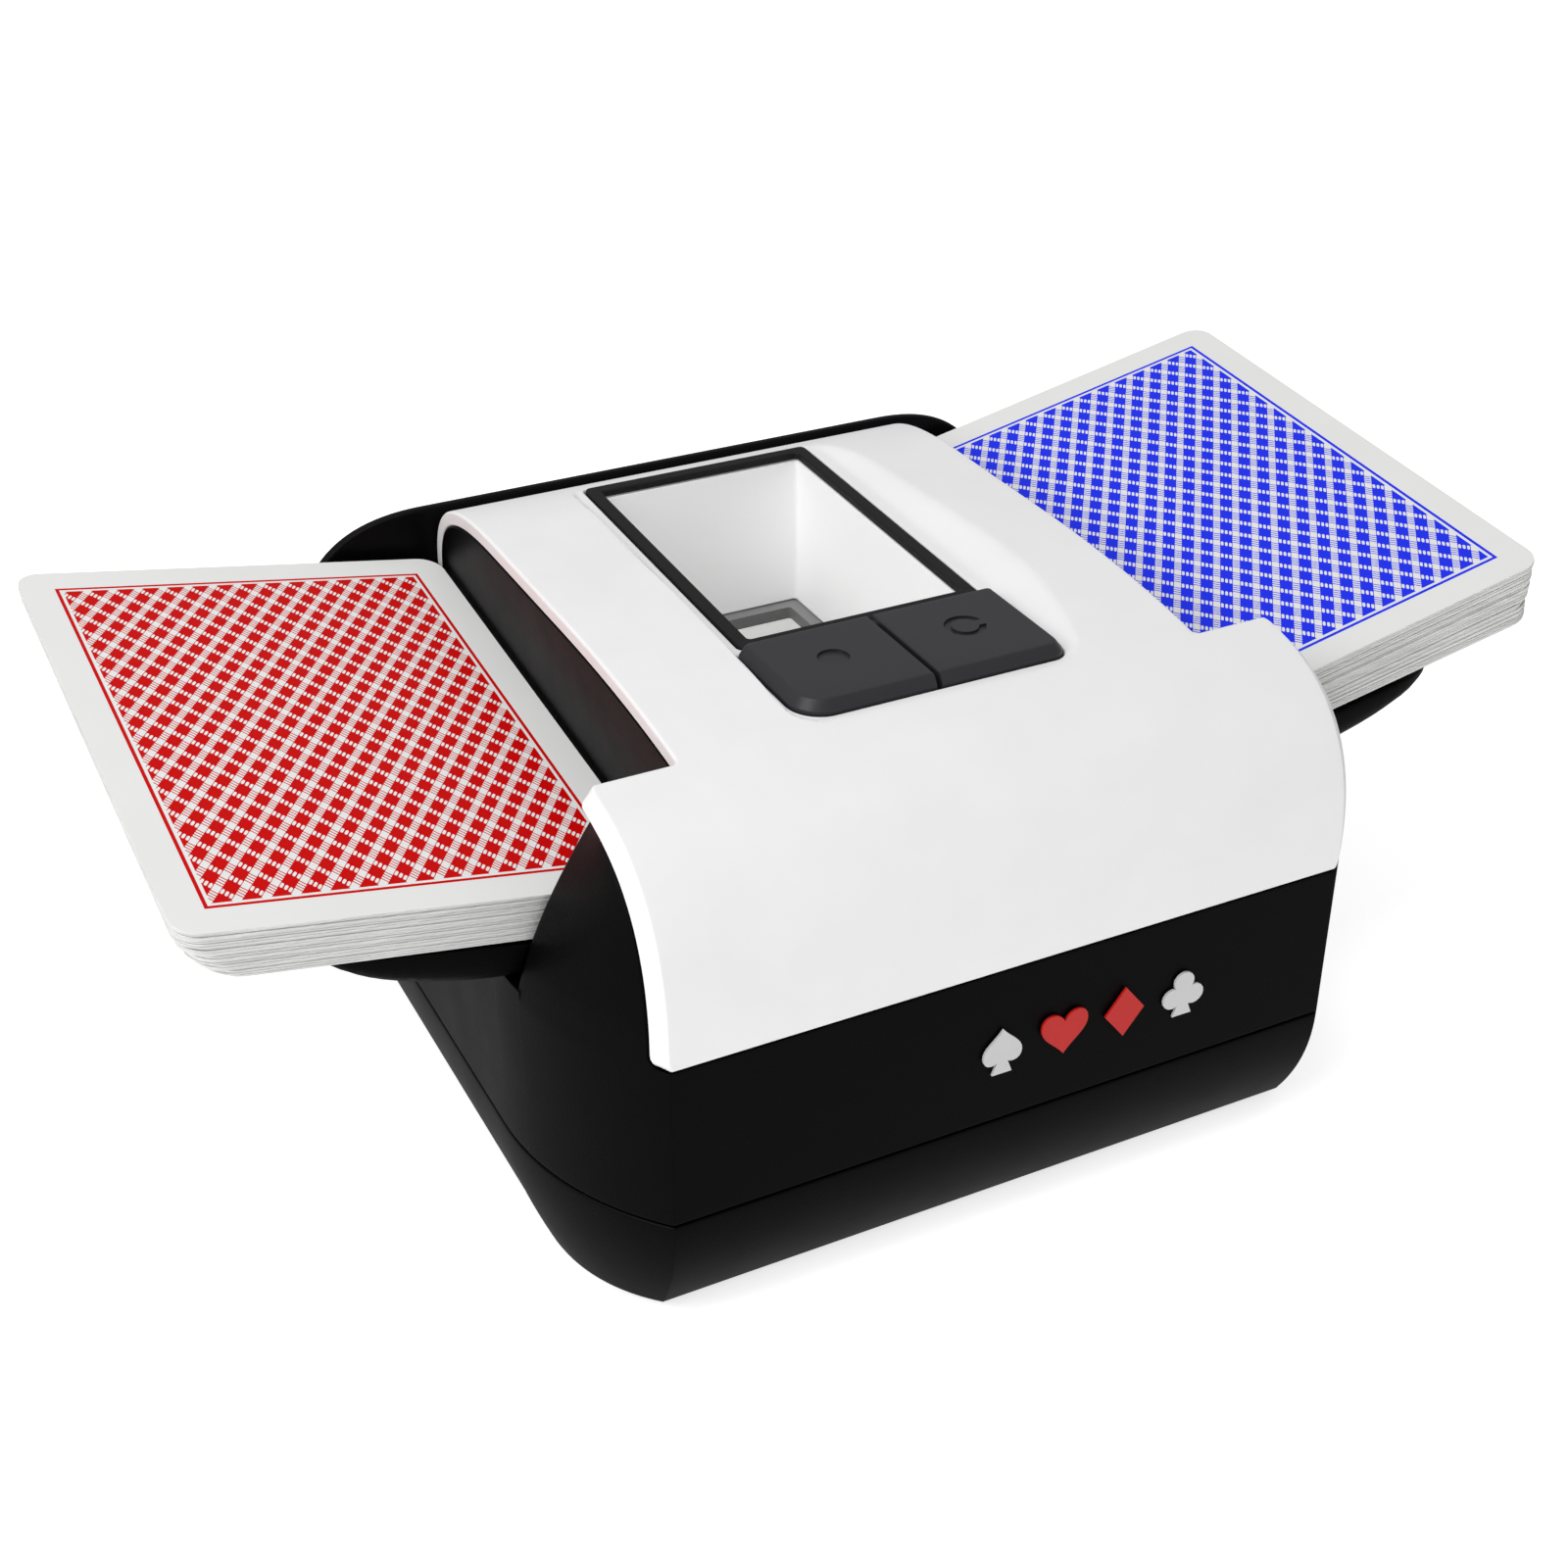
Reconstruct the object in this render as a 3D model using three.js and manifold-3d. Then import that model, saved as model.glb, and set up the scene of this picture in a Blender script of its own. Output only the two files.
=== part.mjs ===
// Automatic card shuffler: two tilted card trays feed a central drawer through motor-driven rollers.
// Millimetres, +Z up. Inside the root group y = 0 is the front face, and z = 0 is the underside of the base.
import * as THREE from 'three';
import { mergeVertices } from 'three/addons/utils/BufferGeometryUtils.js';
import Module from 'manifold-3d';

const wasm = await Module();
wasm.setup();

// ---------------------------------------------------------------- driving dimensions
const DEPTH = 114;
const FRONT_HALF = 50;
const BODY_HALF = 61.8;
const CORNER_RADIUS = 40;
const CORNER_CENTRE = [BODY_HALF - CORNER_RADIUS, 28.5];
const REAR_RADIUS = 7;
const PARTING_Z = 17.9;
const BODY_TOP = 69;
const FOOT_HEIGHT = 1;
const GAP = 0.3;
const WALL = 2.5;
// Levels and widths past the body, for cutters that run right through.
const SKY = 90;
const WIDE = 80;
const UNDER_COVER = 60;

const HEAD_DEPTH = 21.5;
const REAR_WALL = 1.8;
const BAY_FRONT = HEAD_DEPTH + GAP;
const BAY_REAR = DEPTH - REAR_WALL;

const COVER_BOTTOM = 42.4;
const COVER_THICKNESS = 2.1;
const COVER_HALF_FRONT = 51.7;
const COVER_HALF_TOP = 38.5;
const COVER_CHAMFER = 1.7;
const COVER_STEP_CORNER = 2;

const CARD_WIDTH = 63;
const CARD_LENGTH = 88;
const CARD_CORNER = 3.5;
const DECK_THICKNESS = { red: 6, blue: 7.6 };
const DECK_INNER = 39;
const TRAY_TILT = Math.atan(0.187);
const TRAY_PITCH = THREE.MathUtils.degToRad(5);
const TRAY_FLOOR = 46.7;
const TRAY_PLATE = 1.6;
const TRAY_HALF = 86;
const TRAY_RADIUS = 14;

const ROLLER_X = 48.9;
const TYRE_RADIUS = 9.2;
const TYRE_WIDTH = 10;
const HUB_RADIUS = 6.2;
const TYRE_PROUD = 0.6;
const TYRE_PLACES = [-5, 25];
const DECK_LIFT = TYRE_PROUD + GAP;
const SHAFT_RADIUS = 1.5;
const SHAFT_HALF = 43;
const GEAR_MODULE = 0.5;
const GEAR_TEETH = 24;
const PINION_TEETH = 8;
const GEAR_SPREAD = 0.15;
const GEAR_PLACE = -36;

const CHAMBER_HALF = 36.5;
const DRAWER_HALF = 34;
const DRAWER_TOP = 36;

const BUTTON_HALF = 19.9;
const BUTTON_FRONT = 23.8;
const BUTTON_REAR = 43.1;
const BUTTON_PROUD = 1.7;
const BUTTON_CORNER = { left: 4.5, right: 2.5 };

const WINDOW = { half: 18.6, front: 44.6, rear: 99.2 };
const GASKET_BAND = 2;
// The shallow seat that the window and the buttons stand in, its sides sloping out at 45 degrees.
const SEAT = { half: 20.6, front: 23, rear: 99.8, low: 71.5, high: 73.1, corner: 4 };
const WINDOW_CORNER = { cover: 1.2, gasket: 0.9, inner: 0.6 };

const SIDES = [['left', -1], ['right', 1]];

// ---------------------------------------------------------------- materials
function plastic(colour, roughness) {
  return new THREE.MeshStandardMaterial({ color: colour, roughness, metalness: 0 });
}

function metal(colour, roughness) {
  return new THREE.MeshStandardMaterial({ color: colour, roughness, metalness: 1 });
}

const black = () => plastic(0x1b1b1c, 0.55);
const white = () => plastic(0xf0f0f0, 0.35);
const steel = () => metal(0xb8babd, 0.35);
const brass = () => metal(0xb08d57, 0.4);
const nylon = () => plastic(0xe0ddd4, 0.5);
const tyreRubber = () => plastic(0x3b3b3b, 0.85);
const board = () => plastic(0x1f5a3a, 0.6);

// ---------------------------------------------------------------- solids and booleans
const shuffler = new THREE.Group();
shuffler.position.set(0, -DEPTH / 2, FOOT_HEIGHT);

function solid(geometry) {
  const plain = geometry.clone();
  plain.deleteAttribute('normal');
  plain.deleteAttribute('uv');
  const merged = mergeVertices(plain, 1e-5);
  const vertProperties = new Float32Array(merged.attributes.position.array);
  const triVerts = new Uint32Array(merged.index.array);
  return new wasm.Manifold(new wasm.Mesh({ numProp: 3, vertProperties, triVerts }));
}

function geometryOf(body) {
  const mesh = body.getMesh();
  const geometry = new THREE.BufferGeometry();
  geometry.setAttribute('position', new THREE.BufferAttribute(Float32Array.from(mesh.vertProperties), 3));
  geometry.setIndex(Array.from(mesh.triVerts));
  geometry.computeVertexNormals();
  return geometry;
}

function add(name, shape, material, parent = shuffler) {
  const geometry = shape.isBufferGeometry ? shape : geometryOf(shape);
  const mesh = new THREE.Mesh(geometry, material);
  mesh.name = name;
  parent.add(mesh);
  return mesh;
}

function box(x0, x1, y0, y1, z0, z1) {
  const geometry = new THREE.BoxGeometry(x1 - x0, y1 - y0, z1 - z0);
  geometry.translate((x0 + x1) / 2, (y0 + y1) / 2, (z0 + z1) / 2);
  return solid(geometry);
}

function shapeOf(points) {
  return new THREE.Shape(points.map(([a, b]) => new THREE.Vector2(a, b)));
}

function extruded(shape, depth, segments) {
  return new THREE.ExtrudeGeometry(shape, { depth, bevelEnabled: false, curveSegments: segments });
}

// A plan outline raised from z0 to z1.
function raise(shape, z0, z1, segments = 8) {
  const geometry = extruded(shape, z1 - z0, segments);
  geometry.translate(0, 0, z0);
  return solid(geometry);
}

// A side-view outline, in y and z, spread evenly to both sides of the middle plane.
function spread(points, half, bevel = {}) {
  const thickness = bevel.bevelThickness ?? 0;
  const depth = 2 * (half - thickness);
  const settings = { depth, bevelEnabled: thickness > 0, ...bevel };
  const geometry = new THREE.ExtrudeGeometry(shapeOf(points), settings);
  geometry.translate(0, 0, -depth / 2);
  const y = new THREE.Vector3(0, 1, 0);
  const z = new THREE.Vector3(0, 0, 1);
  const x = new THREE.Vector3(1, 0, 0);
  geometry.applyMatrix4(new THREE.Matrix4().makeBasis(y, z, x));
  return solid(geometry);
}

// A front-view outline, in x and z, running back from y0 to y1.
function run(shape, y0, y1, segments = 12) {
  const geometry = extruded(shape, y1 - y0, segments);
  geometry.rotateX(Math.PI / 2);
  geometry.translate(0, y1, 0);
  return solid(geometry);
}

// A skin over rings of equal count, the first and last ring closed flat.
function loft(rings) {
  const count = rings[0].length;
  const positions = rings.flat().flatMap((point) => [point.x, point.y, point.z]);
  const index = [];
  for (let level = 0; level + 1 < rings.length; level += 1) {
    for (let i = 0; i < count; i += 1) {
      const j = (i + 1) % count;
      const low = level * count;
      const high = low + count;
      index.push(low + i, low + j, high + j, low + i, high + j, high + i);
    }
  }
  const flat = rings[0].map((point) => new THREE.Vector2(point.x, point.y));
  const top = (rings.length - 1) * count;
  for (const [a, b, c] of THREE.ShapeUtils.triangulateShape(flat, [])) {
    index.push(a, c, b, top + a, top + b, top + c);
  }
  const geometry = new THREE.BufferGeometry();
  geometry.setAttribute('position', new THREE.Float32BufferAttribute(positions, 3));
  geometry.setIndex(index);
  return solid(geometry);
}

// A round bar or, with a bore, a ring, with its axis along Y and its middle at the origin.
function turned(radius, length, bore = 0, segments = 24) {
  const half = length / 2;
  const points = bore > 0
    ? [[bore, -half], [radius, -half], [radius, half], [bore, half], [bore, -half]]
    : [[0, -half], [radius, -half], [radius, half], [0, half]];
  return new THREE.LatheGeometry(points.map(([r, y]) => new THREE.Vector2(r, y)), segments);
}

function upright(radius, z0, z1, x, y, segments = 24) {
  const geometry = new THREE.CylinderGeometry(radius, radius, z1 - z0, segments);
  geometry.rotateX(Math.PI / 2);
  geometry.translate(x, y, (z0 + z1) / 2);
  return solid(geometry);
}

function roundedShape(x0, x1, y0, y1, radius) {
  const shape = new THREE.Shape();
  shape.moveTo(x0 + radius, y0);
  shape.absarc(x1 - radius, y0 + radius, radius, -Math.PI / 2, 0);
  shape.absarc(x1 - radius, y1 - radius, radius, 0, Math.PI / 2);
  shape.absarc(x0 + radius, y1 - radius, radius, Math.PI / 2, Math.PI);
  shape.absarc(x0 + radius, y0 + radius, radius, Math.PI, 1.5 * Math.PI);
  return shape;
}

// ---------------------------------------------------------------- outer form
const FRONT_CURVE_END = [18, 70.8];
const SIDE_STEPS = 12;

// Up the front of the cover to the point where the seat parts from it.
function frontPath() {
  const path = new THREE.Path();
  path.moveTo(0, COVER_BOTTOM);
  path.lineTo(0, 46);
  path.bezierCurveTo(0, 59.5, 5.5, 68.3, ...FRONT_CURVE_END);
  return path;
}

// Side view of the cover: up the front, over the flat top and down inside the rear wall.
function coverPath() {
  const end = BAY_REAR - GAP;
  const path = frontPath();
  path.bezierCurveTo(28, 72.8, 42, 74.2, 60, 74.2);
  path.lineTo(86, 74.2);
  path.bezierCurveTo(101, 74.2, end, 71.5, end, 60);
  return path.getPoints(SIDE_STEPS);
}

// Side view of the seat: it parts from the front curve and climbs gently toward the rear.
function seatPath() {
  const end = BAY_REAR - 2 * GAP;
  const path = frontPath();
  path.bezierCurveTo(21, 71.4, 24, SEAT.low, 30, SEAT.low);
  path.lineTo(46, SEAT.low);
  path.lineTo(99, SEAT.high);
  path.bezierCurveTo(104, SEAT.high, end, 69, end, 60);
  return path.getPoints(SIDE_STEPS);
}

// A side view moved inward by a distance, square to itself.
function insetBy(points, distance) {
  return points.map((point, i) => {
    const before = points[Math.max(i - 1, 0)];
    const after = points[Math.min(i + 1, points.length - 1)];
    const along = new THREE.Vector2().subVectors(after, before).normalize();
    return [point.x + along.y * distance, point.y - along.x * distance];
  });
}

// Everything under a side view, inset by a distance, down to a level.
function under(points, distance, bottom) {
  const [first, ...rest] = insetBy(points, distance);
  const last = rest[rest.length - 1];
  return [[first[0], bottom], ...rest, [last[0], bottom]];
}

function underCover(distance, bottom) {
  return under(coverPath(), distance, bottom);
}

function underSeat(distance, bottom) {
  return under(seatPath(), distance, bottom);
}

function frontAtHeight(z) {
  const points = coverPath();
  const next = points.findIndex((point) => point.y >= z);
  if (next <= 0) {
    return 0;
  }
  const low = points[next - 1];
  const high = points[next];
  const part = (z - low.y) / (high.y - low.y);
  return low.x + part * (high.x - low.x);
}

// The rounded front quarter of the plan, drawn from the front corner to the side, then stretched
// so that it starts at the front corner given and ends at the side point given.
function quarter(corner, side, sideAngle, steps = 9) {
  const points = [];
  const startAngle = -Math.PI / 4;
  const start = arcPoint(startAngle);
  const end = arcPoint(sideAngle);
  for (let i = 0; i <= steps; i += 1) {
    const part = i / steps;
    const base = arcPoint(startAngle + part * (sideAngle - startAngle));
    const x = base.x + (1 - part) * (corner.x - start.x) + part * (side.x - end.x);
    const y = base.y + (1 - part) * (corner.y - start.y) + part * (side.y - end.y);
    points.push(new THREE.Vector2(x, y));
  }
  return points;
}

function arcPoint(angle) {
  const x = CORNER_CENTRE[0] + CORNER_RADIUS * Math.cos(angle);
  const y = CORNER_CENTRE[1] + CORNER_RADIUS * Math.sin(angle);
  return new THREE.Vector2(x, y);
}

function rearCorner(half, rear, steps = 5) {
  const points = [];
  for (let i = 0; i <= steps; i += 1) {
    const angle = (i / steps) * (Math.PI / 2);
    const x = half - REAR_RADIUS + REAR_RADIUS * Math.cos(angle);
    const y = rear - REAR_RADIUS + REAR_RADIUS * Math.sin(angle);
    points.push(new THREE.Vector2(x, y));
  }
  return points;
}

function mirrored(rightSide) {
  const leftSide = rightSide.map((point) => new THREE.Vector2(-point.x, point.y)).reverse();
  return [...rightSide, ...leftSide];
}

function atLevel(points, z) {
  return points.map((point) => new THREE.Vector3(point.x, point.y, z));
}

// The whole plan, with its front, sides and rear drawn in.
function planOutline(front, side, rear) {
  const corner = new THREE.Vector2(FRONT_HALF - side * 0.1, front);
  const end = new THREE.Vector2(BODY_HALF - side, CORNER_CENTRE[1]);
  return mirrored([...quarter(corner, end, 0), ...rearCorner(BODY_HALF - side, DEPTH - rear)]);
}

// ---------------------------------------------------------------- tray plane
const TILT = Math.tan(TRAY_TILT);
const PITCH = Math.tan(TRAY_PITCH);

function floorAt(x, y) {
  return TRAY_FLOOR + TILT * (Math.abs(x) - DECK_INNER) + PITCH * (y - BAY_FRONT);
}

// Leans a solid so that it climbs with the trays toward the rear.
function leaned(shape) {
  const matrix = new THREE.Matrix4();
  matrix.set(
    1, 0, 0, 0,
    0, 1, 0, 0,
    0, PITCH, 1, -PITCH * BAY_FRONT,
    0, 0, 0, 1,
  );
  const geometry = geometryOf(shape);
  geometry.applyMatrix4(matrix);
  return solid(geometry);
}

function sideOutline(points, side) {
  const turnedPoints = points.map(([x, z]) => [x * side, z]);
  return shapeOf(side > 0 ? turnedPoints : turnedPoints.reverse());
}

// ---------------------------------------------------------------- base
const SCREW_PLACES = [[-51, 32], [51, 32], [-51, 100], [51, 100]];
const FOOT_PLACES = [[-44, 14], [44, 14], [-44, 106], [44, 106]];
const FOOT_RADIUS = 4;
const POST_RADIUS = 3.4;
const SCREW_HEAD = { radius: 2.2, bottom: 8, top: 10 };
const SCREW_SHANK = { radius: 1.1, top: 22.5 };
const BOSS_TOP = 24;
const BASE_FLOOR = 2.2;
const DRAWER_DOOR = { half: 36.2, bottom: BASE_FLOOR, top: 40 };
const UNDERCUT = { front: 6, side: 4.6, rear: 2.5 };
const FOOT_SINK = 0.6;
const DRIVE_SLOT = { half: 0.3, reach: 1.5, depth: 0.8 };

function baseRing(z, inset) {
  const part = (1 - z / PARTING_Z) ** 2;
  const front = UNDERCUT.front * part + inset;
  const side = UNDERCUT.side * part + inset;
  const rear = UNDERCUT.rear * part + inset;
  return atLevel(planOutline(front, side, rear), z);
}

function baseLevels(bottom, steps) {
  const levels = [];
  for (let i = 0; i <= steps; i += 1) {
    levels.push(bottom + (i / steps) * (PARTING_Z - bottom));
  }
  return levels;
}

function baseForm() {
  return loft(baseLevels(0, 6).map((z) => baseRing(z, 0)));
}

function baseTray() {
  let tray = baseForm();
  const hollow = loft([
    ...baseLevels(BASE_FLOOR, 4).map((z) => baseRing(z, WALL)),
    atLevel(planOutline(WALL, WALL, REAR_WALL), PARTING_Z + 1),
  ]);
  tray = tray.subtract(hollow);
  for (const [x, y] of SCREW_PLACES) {
    tray = tray.add(upright(POST_RADIUS, BASE_FLOOR - 1, PARTING_Z, x, y));
    tray = tray.subtract(upright(SCREW_HEAD.radius + GAP, -1, SCREW_HEAD.top + GAP, x, y));
    tray = tray.subtract(upright(SCREW_SHANK.radius + GAP, 0, PARTING_Z + 1, x, y));
  }
  for (const [x, y] of FOOT_PLACES) {
    tray = tray.subtract(upright(FOOT_RADIUS + GAP, -1, FOOT_SINK + GAP, x, y));
  }
  const { half, bottom } = DRAWER_DOOR;
  return tray.subtract(box(-half, half, BAY_REAR - 6, DEPTH + 1, bottom, PARTING_Z + 1));
}

function foot([x, y]) {
  return upright(FOOT_RADIUS, -FOOT_HEIGHT, FOOT_SINK, x, y);
}

function screw([x, y]) {
  const head = upright(SCREW_HEAD.radius, SCREW_HEAD.bottom, SCREW_HEAD.top, x, y, 20);
  const shank = upright(SCREW_SHANK.radius, SCREW_HEAD.top - 1, SCREW_SHANK.top, x, y, 12);
  const { half, reach } = DRIVE_SLOT;
  const roof = SCREW_HEAD.bottom + DRIVE_SLOT.depth;
  const slot = box(x - reach, x + reach, y - half, y + half, 0, roof);
  const cross = box(x - half, x + half, y - reach, y + reach, 0, roof);
  return head.add(shank).subtract(slot).subtract(cross);
}

// ---------------------------------------------------------------- casing
const CHEEK_HALF = 61.2;
const HEAD_ROOF = { half: 49.2, z: 68.6 };
const SHOULDER = { start: 44, end: 40 };

// The edge where each cheek of the head meets its tray bay, seen from the front.
function cheekEdge(part) {
  const curve = new THREE.QuadraticBezierCurve(
    new THREE.Vector2(CHEEK_HALF, COVER_BOTTOM),
    new THREE.Vector2(60.8, 52),
    new THREE.Vector2(FRONT_HALF, 67.4),
  );
  return curve.getPoint(part);
}

function headRing(z, edge) {
  const corner = new THREE.Vector2(FRONT_HALF, frontAtHeight(z));
  const sideAngle = Math.asin((HEAD_DEPTH - CORNER_CENTRE[1]) / CORNER_RADIUS);
  const side = new THREE.Vector2(edge, HEAD_DEPTH);
  return atLevel(mirrored(quarter(corner, side, sideAngle)), z);
}

function head() {
  const levels = 12;
  const rings = [headRing(PARTING_Z + GAP, CHEEK_HALF)];
  for (let i = 0; i <= levels; i += 1) {
    const edge = cheekEdge(i / levels);
    rings.push(headRing(edge.y, edge.x));
  }
  rings.push(headRing(HEAD_ROOF.z, HEAD_ROOF.half));
  return loft(rings);
}

// The rear view of the body: straight sides that round over into the top of the rear wall.
function shoulders() {
  const { start, end } = SHOULDER;
  const shape = new THREE.Shape();
  shape.moveTo(-BODY_HALF - 1, PARTING_Z - 1);
  shape.lineTo(BODY_HALF + 1, PARTING_Z - 1);
  shape.lineTo(BODY_HALF + 1, start - 4);
  shape.lineTo(BODY_HALF, start);
  shape.bezierCurveTo(BODY_HALF, 58.5, 57.5, BODY_TOP, end, BODY_TOP);
  shape.lineTo(-end, BODY_TOP);
  shape.bezierCurveTo(-57.5, BODY_TOP, -BODY_HALF, 58.5, -BODY_HALF, start);
  shape.lineTo(-BODY_HALF - 1, start - 4);
  return shape;
}

const WING_ROOT_Z = 44.9;
const BAY_HALF = 59.3;
const CARD_SLOT = 2;
const HEAD_HOLLOW = { half: 47, rear: 19.3, skin: 2 };

// The open bay over each tray: everything above the tray's underside, between head and rear wall.
function bay(side) {
  const sill = WING_ROOT_Z - GAP;
  const points = [[COVER_HALF_TOP, 0], [BAY_HALF, 0], [BAY_HALF, sill], [WIDE, sill], [WIDE, SKY],
    [COVER_HALF_TOP, SKY]];
  return leaned(run(sideOutline(points, side), HEAD_DEPTH, BAY_REAR));
}

// The slot at the foot of each chamber wall, through which one card at a time is fed.
function cardSlot(side) {
  const low = floorAt(COVER_HALF_TOP, BAY_FRONT) - 0.4;
  const high = low + CARD_SLOT;
  const inner = CHAMBER_HALF - 1;
  const outer = COVER_HALF_TOP + 1;
  const points = [[inner, low], [outer, low], [outer, high], [inner, high]];
  return leaned(run(sideOutline(points, side), BAY_FRONT + 1, BAY_REAR - 1));
}

// The room inside the head for the boards and the cell, open toward the base.
function headHollow() {
  const { half, rear, skin } = HEAD_HOLLOW;
  const inset = insetBy(coverPath(), COVER_THICKNESS + GAP + skin);
  const roof = inset.filter(([y]) => y > WALL + skin && y < rear);
  const last = roof[roof.length - 1];
  const low = PARTING_Z - 1;
  return spread([[WALL, low], [WALL, COVER_BOTTOM - 4.4], ...roof, [rear, last[1]], [rear, low]], half);
}

// The cover as a full block: wide and chamfered over the head, narrower behind the step.
function coverOuter(grow) {
  const bevel = {
    bevelThickness: COVER_CHAMFER,
    bevelSize: COVER_CHAMFER,
    bevelOffset: -COVER_CHAMFER,
    bevelSegments: 2,
  };
  const side = underCover(-grow, COVER_BOTTOM - grow);
  const half = COVER_HALF_FRONT + grow;
  const step = roundedShape(-half, half, -5, HEAD_DEPTH + grow, COVER_STEP_CORNER);
  const front = spread(side, half, bevel).intersect(raise(step, 30, SKY));
  return front.add(spread(side, COVER_HALF_TOP + grow));
}

function coverSheet(grow) {
  const inner = spread(underCover(COVER_THICKNESS + grow, COVER_BOTTOM - 5), WIDE);
  return coverOuter(grow).subtract(inner);
}

const PORT = { x: -48.5, z: 30, halfWidth: 4.5, halfHeight: 1.65, depth: 7.4, shellWall: 0.3 };

function portShape(grow) {
  const { x, z, halfWidth, halfHeight } = PORT;
  const across = halfWidth + grow;
  const up = halfHeight + grow;
  return roundedShape(x - across, x + across, z - up, z + up, up - 0.01);
}

function screwBoss([x, y]) {
  const side = Math.sign(x);
  const wall = side * (BODY_HALF - WALL + 0.7);
  const from = Math.min(x, wall);
  const to = Math.max(x, wall);
  const rib = box(from, to, y - 0.8, y + 0.8, PARTING_Z + GAP, BOSS_TOP);
  const pilot = upright(SCREW_SHANK.radius + GAP, 10, SCREW_SHANK.top + GAP, x, y);
  return upright(POST_RADIUS, PARTING_Z + GAP, BOSS_TOP, x, y).add(rib).subtract(pilot);
}

// Everything beside, before and behind the cover, and what lies under it.
function besideCover() {
  const rear = DEPTH + 1;
  return spread(underCover(COVER_THICKNESS + GAP, 0), COVER_HALF_TOP + GAP)
    .add(box(-WIDE, -COVER_HALF_TOP, -1, rear, 0, SKY))
    .add(box(COVER_HALF_TOP, WIDE, -1, rear, 0, SKY))
    .add(box(-WIDE, WIDE, -1, HEAD_DEPTH, 0, SKY))
    .add(box(-WIDE, WIDE, BAY_REAR - 0.01, rear, 0, SKY));
}

function midCasing() {
  const behindHead = box(-WIDE, WIDE, HEAD_DEPTH - 0.01, DEPTH + 1, 0, SKY);
  const walls = raise(new THREE.Shape(planOutline(0, 0, 0)), PARTING_Z + GAP, SKY);
  let casing = walls.intersect(run(shoulders(), -1, DEPTH + 1, 16)).intersect(behindHead).add(head());
  casing = casing.subtract(box(-CHAMBER_HALF, CHAMBER_HALF, HEAD_DEPTH, BAY_REAR, 0, SKY));
  for (const [, side] of SIDES) {
    casing = casing.subtract(bay(side)).subtract(cardSlot(side));
  }
  casing = casing.subtract(headHollow()).subtract(coverSheet(GAP)).intersect(besideCover());
  const { half, top } = DRAWER_DOOR;
  casing = casing.subtract(box(-half, half, BAY_REAR - 1, DEPTH + 1, 0, top));
  for (const place of SCREW_PLACES) {
    casing = casing.add(screwBoss(place));
  }
  return casing.subtract(run(portShape(GAP), BAY_REAR - 1, DEPTH + 1));
}

// ---------------------------------------------------------------- cover, window and chute
function windowShape({ half, front, rear, radius }) {
  return roundedShape(-half, half, front, rear, radius);
}

function windowRing(outer, inner, z0, z1) {
  return raise(windowShape(outer), z0, z1).subtract(raise(windowShape(inner), z0 - 1, z1 + 1));
}

function windowInset(distance, radius) {
  const { half, front, rear } = WINDOW;
  return { half: half - distance, front: front + distance, rear: rear - distance, radius };
}

// Two ribs under the cover carry the button board.
const BOARD_RIB = { x: 23.4, thickness: 1.6, front: 28, rear: 42, bottom: 62.5 };

// The sheet between two insets of the seat's side view, wide enough for the window's parts.
function layer(outside, inside) {
  return spread(underSeat(outside, 40), 30).subtract(spread(underSeat(inside, 30), 31));
}

function seatShape(grow) {
  const { half, front, rear, corner } = SEAT;
  return roundedShape(-half - grow, half + grow, front - grow, rear + grow, corner + grow);
}

// The hollow above the seat.
function seatHollow() {
  const rise = 5;
  const ring = (grow) => atLevel(seatShape(grow).getPoints(6).slice(0, -1), SEAT.low + grow);
  const flare = loft([ring(-1), ring(rise)]);
  return flare.subtract(spread(underSeat(0, 40), 40));
}

// The seat's own thickness, where it hangs below the rest of the cover.
function seatPan() {
  const block = raise(seatShape(COVER_THICKNESS), UNDER_COVER, SKY);
  return block.intersect(layer(0, COVER_THICKNESS)).intersect(spread(underCover(0.5, 30), 40));
}

function topCover() {
  const opening = windowInset(-GAP, WINDOW_CORNER.cover);
  let cover = coverSheet(0).add(seatPan()).subtract(seatHollow());
  cover = cover.subtract(raise(windowShape(opening), UNDER_COVER, SKY));
  const { x, thickness, front, rear, bottom } = BOARD_RIB;
  const below = spread(underCover(COVER_THICKNESS - 0.5, 30), 40);
  for (const [, side] of SIDES) {
    cover = cover.subtract(raise(buttonOutline(side, GAP), UNDER_COVER, SKY));
    const from = Math.min(side * x, side * (x + thickness));
    cover = cover.add(box(from, from + thickness, front, rear, bottom, SKY).intersect(below));
  }
  return cover;
}

function windowGasket() {
  const outer = windowInset(0, WINDOW_CORNER.gasket);
  const inner = windowInset(GASKET_BAND, WINDOW_CORNER.inner);
  return windowRing(outer, inner, UNDER_COVER, SKY).intersect(layer(-GASKET_PROUD, GASKET_DEPTH));
}

const GASKET_PROUD = 0.25;
const GASKET_DEPTH = 0.8;
const CHUTE_BOTTOM = 48.2;
const CHUTE_TOP = 76;
const CHUTE_TAPER = 0.3;
const CHUTE_WALL = 1.2;
const CHUTE_LEDGE = 2;
const FLANGE_WIDTH = 2.2;
const FLANGE_THICKNESS = 1.3;
const RIM_HEIGHT = 2;

// The chute narrows from its top down to its mouth.
function chuteBlock(distance) {
  const ring = (inset, z) => {
    const outline = windowShape(windowInset(inset, WINDOW_CORNER.inner));
    return atLevel(outline.getPoints(4).slice(0, -1), z);
  };
  return loft([ring(distance + CHUTE_TAPER, CHUTE_BOTTOM), ring(distance, CHUTE_TOP)]);
}

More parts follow.
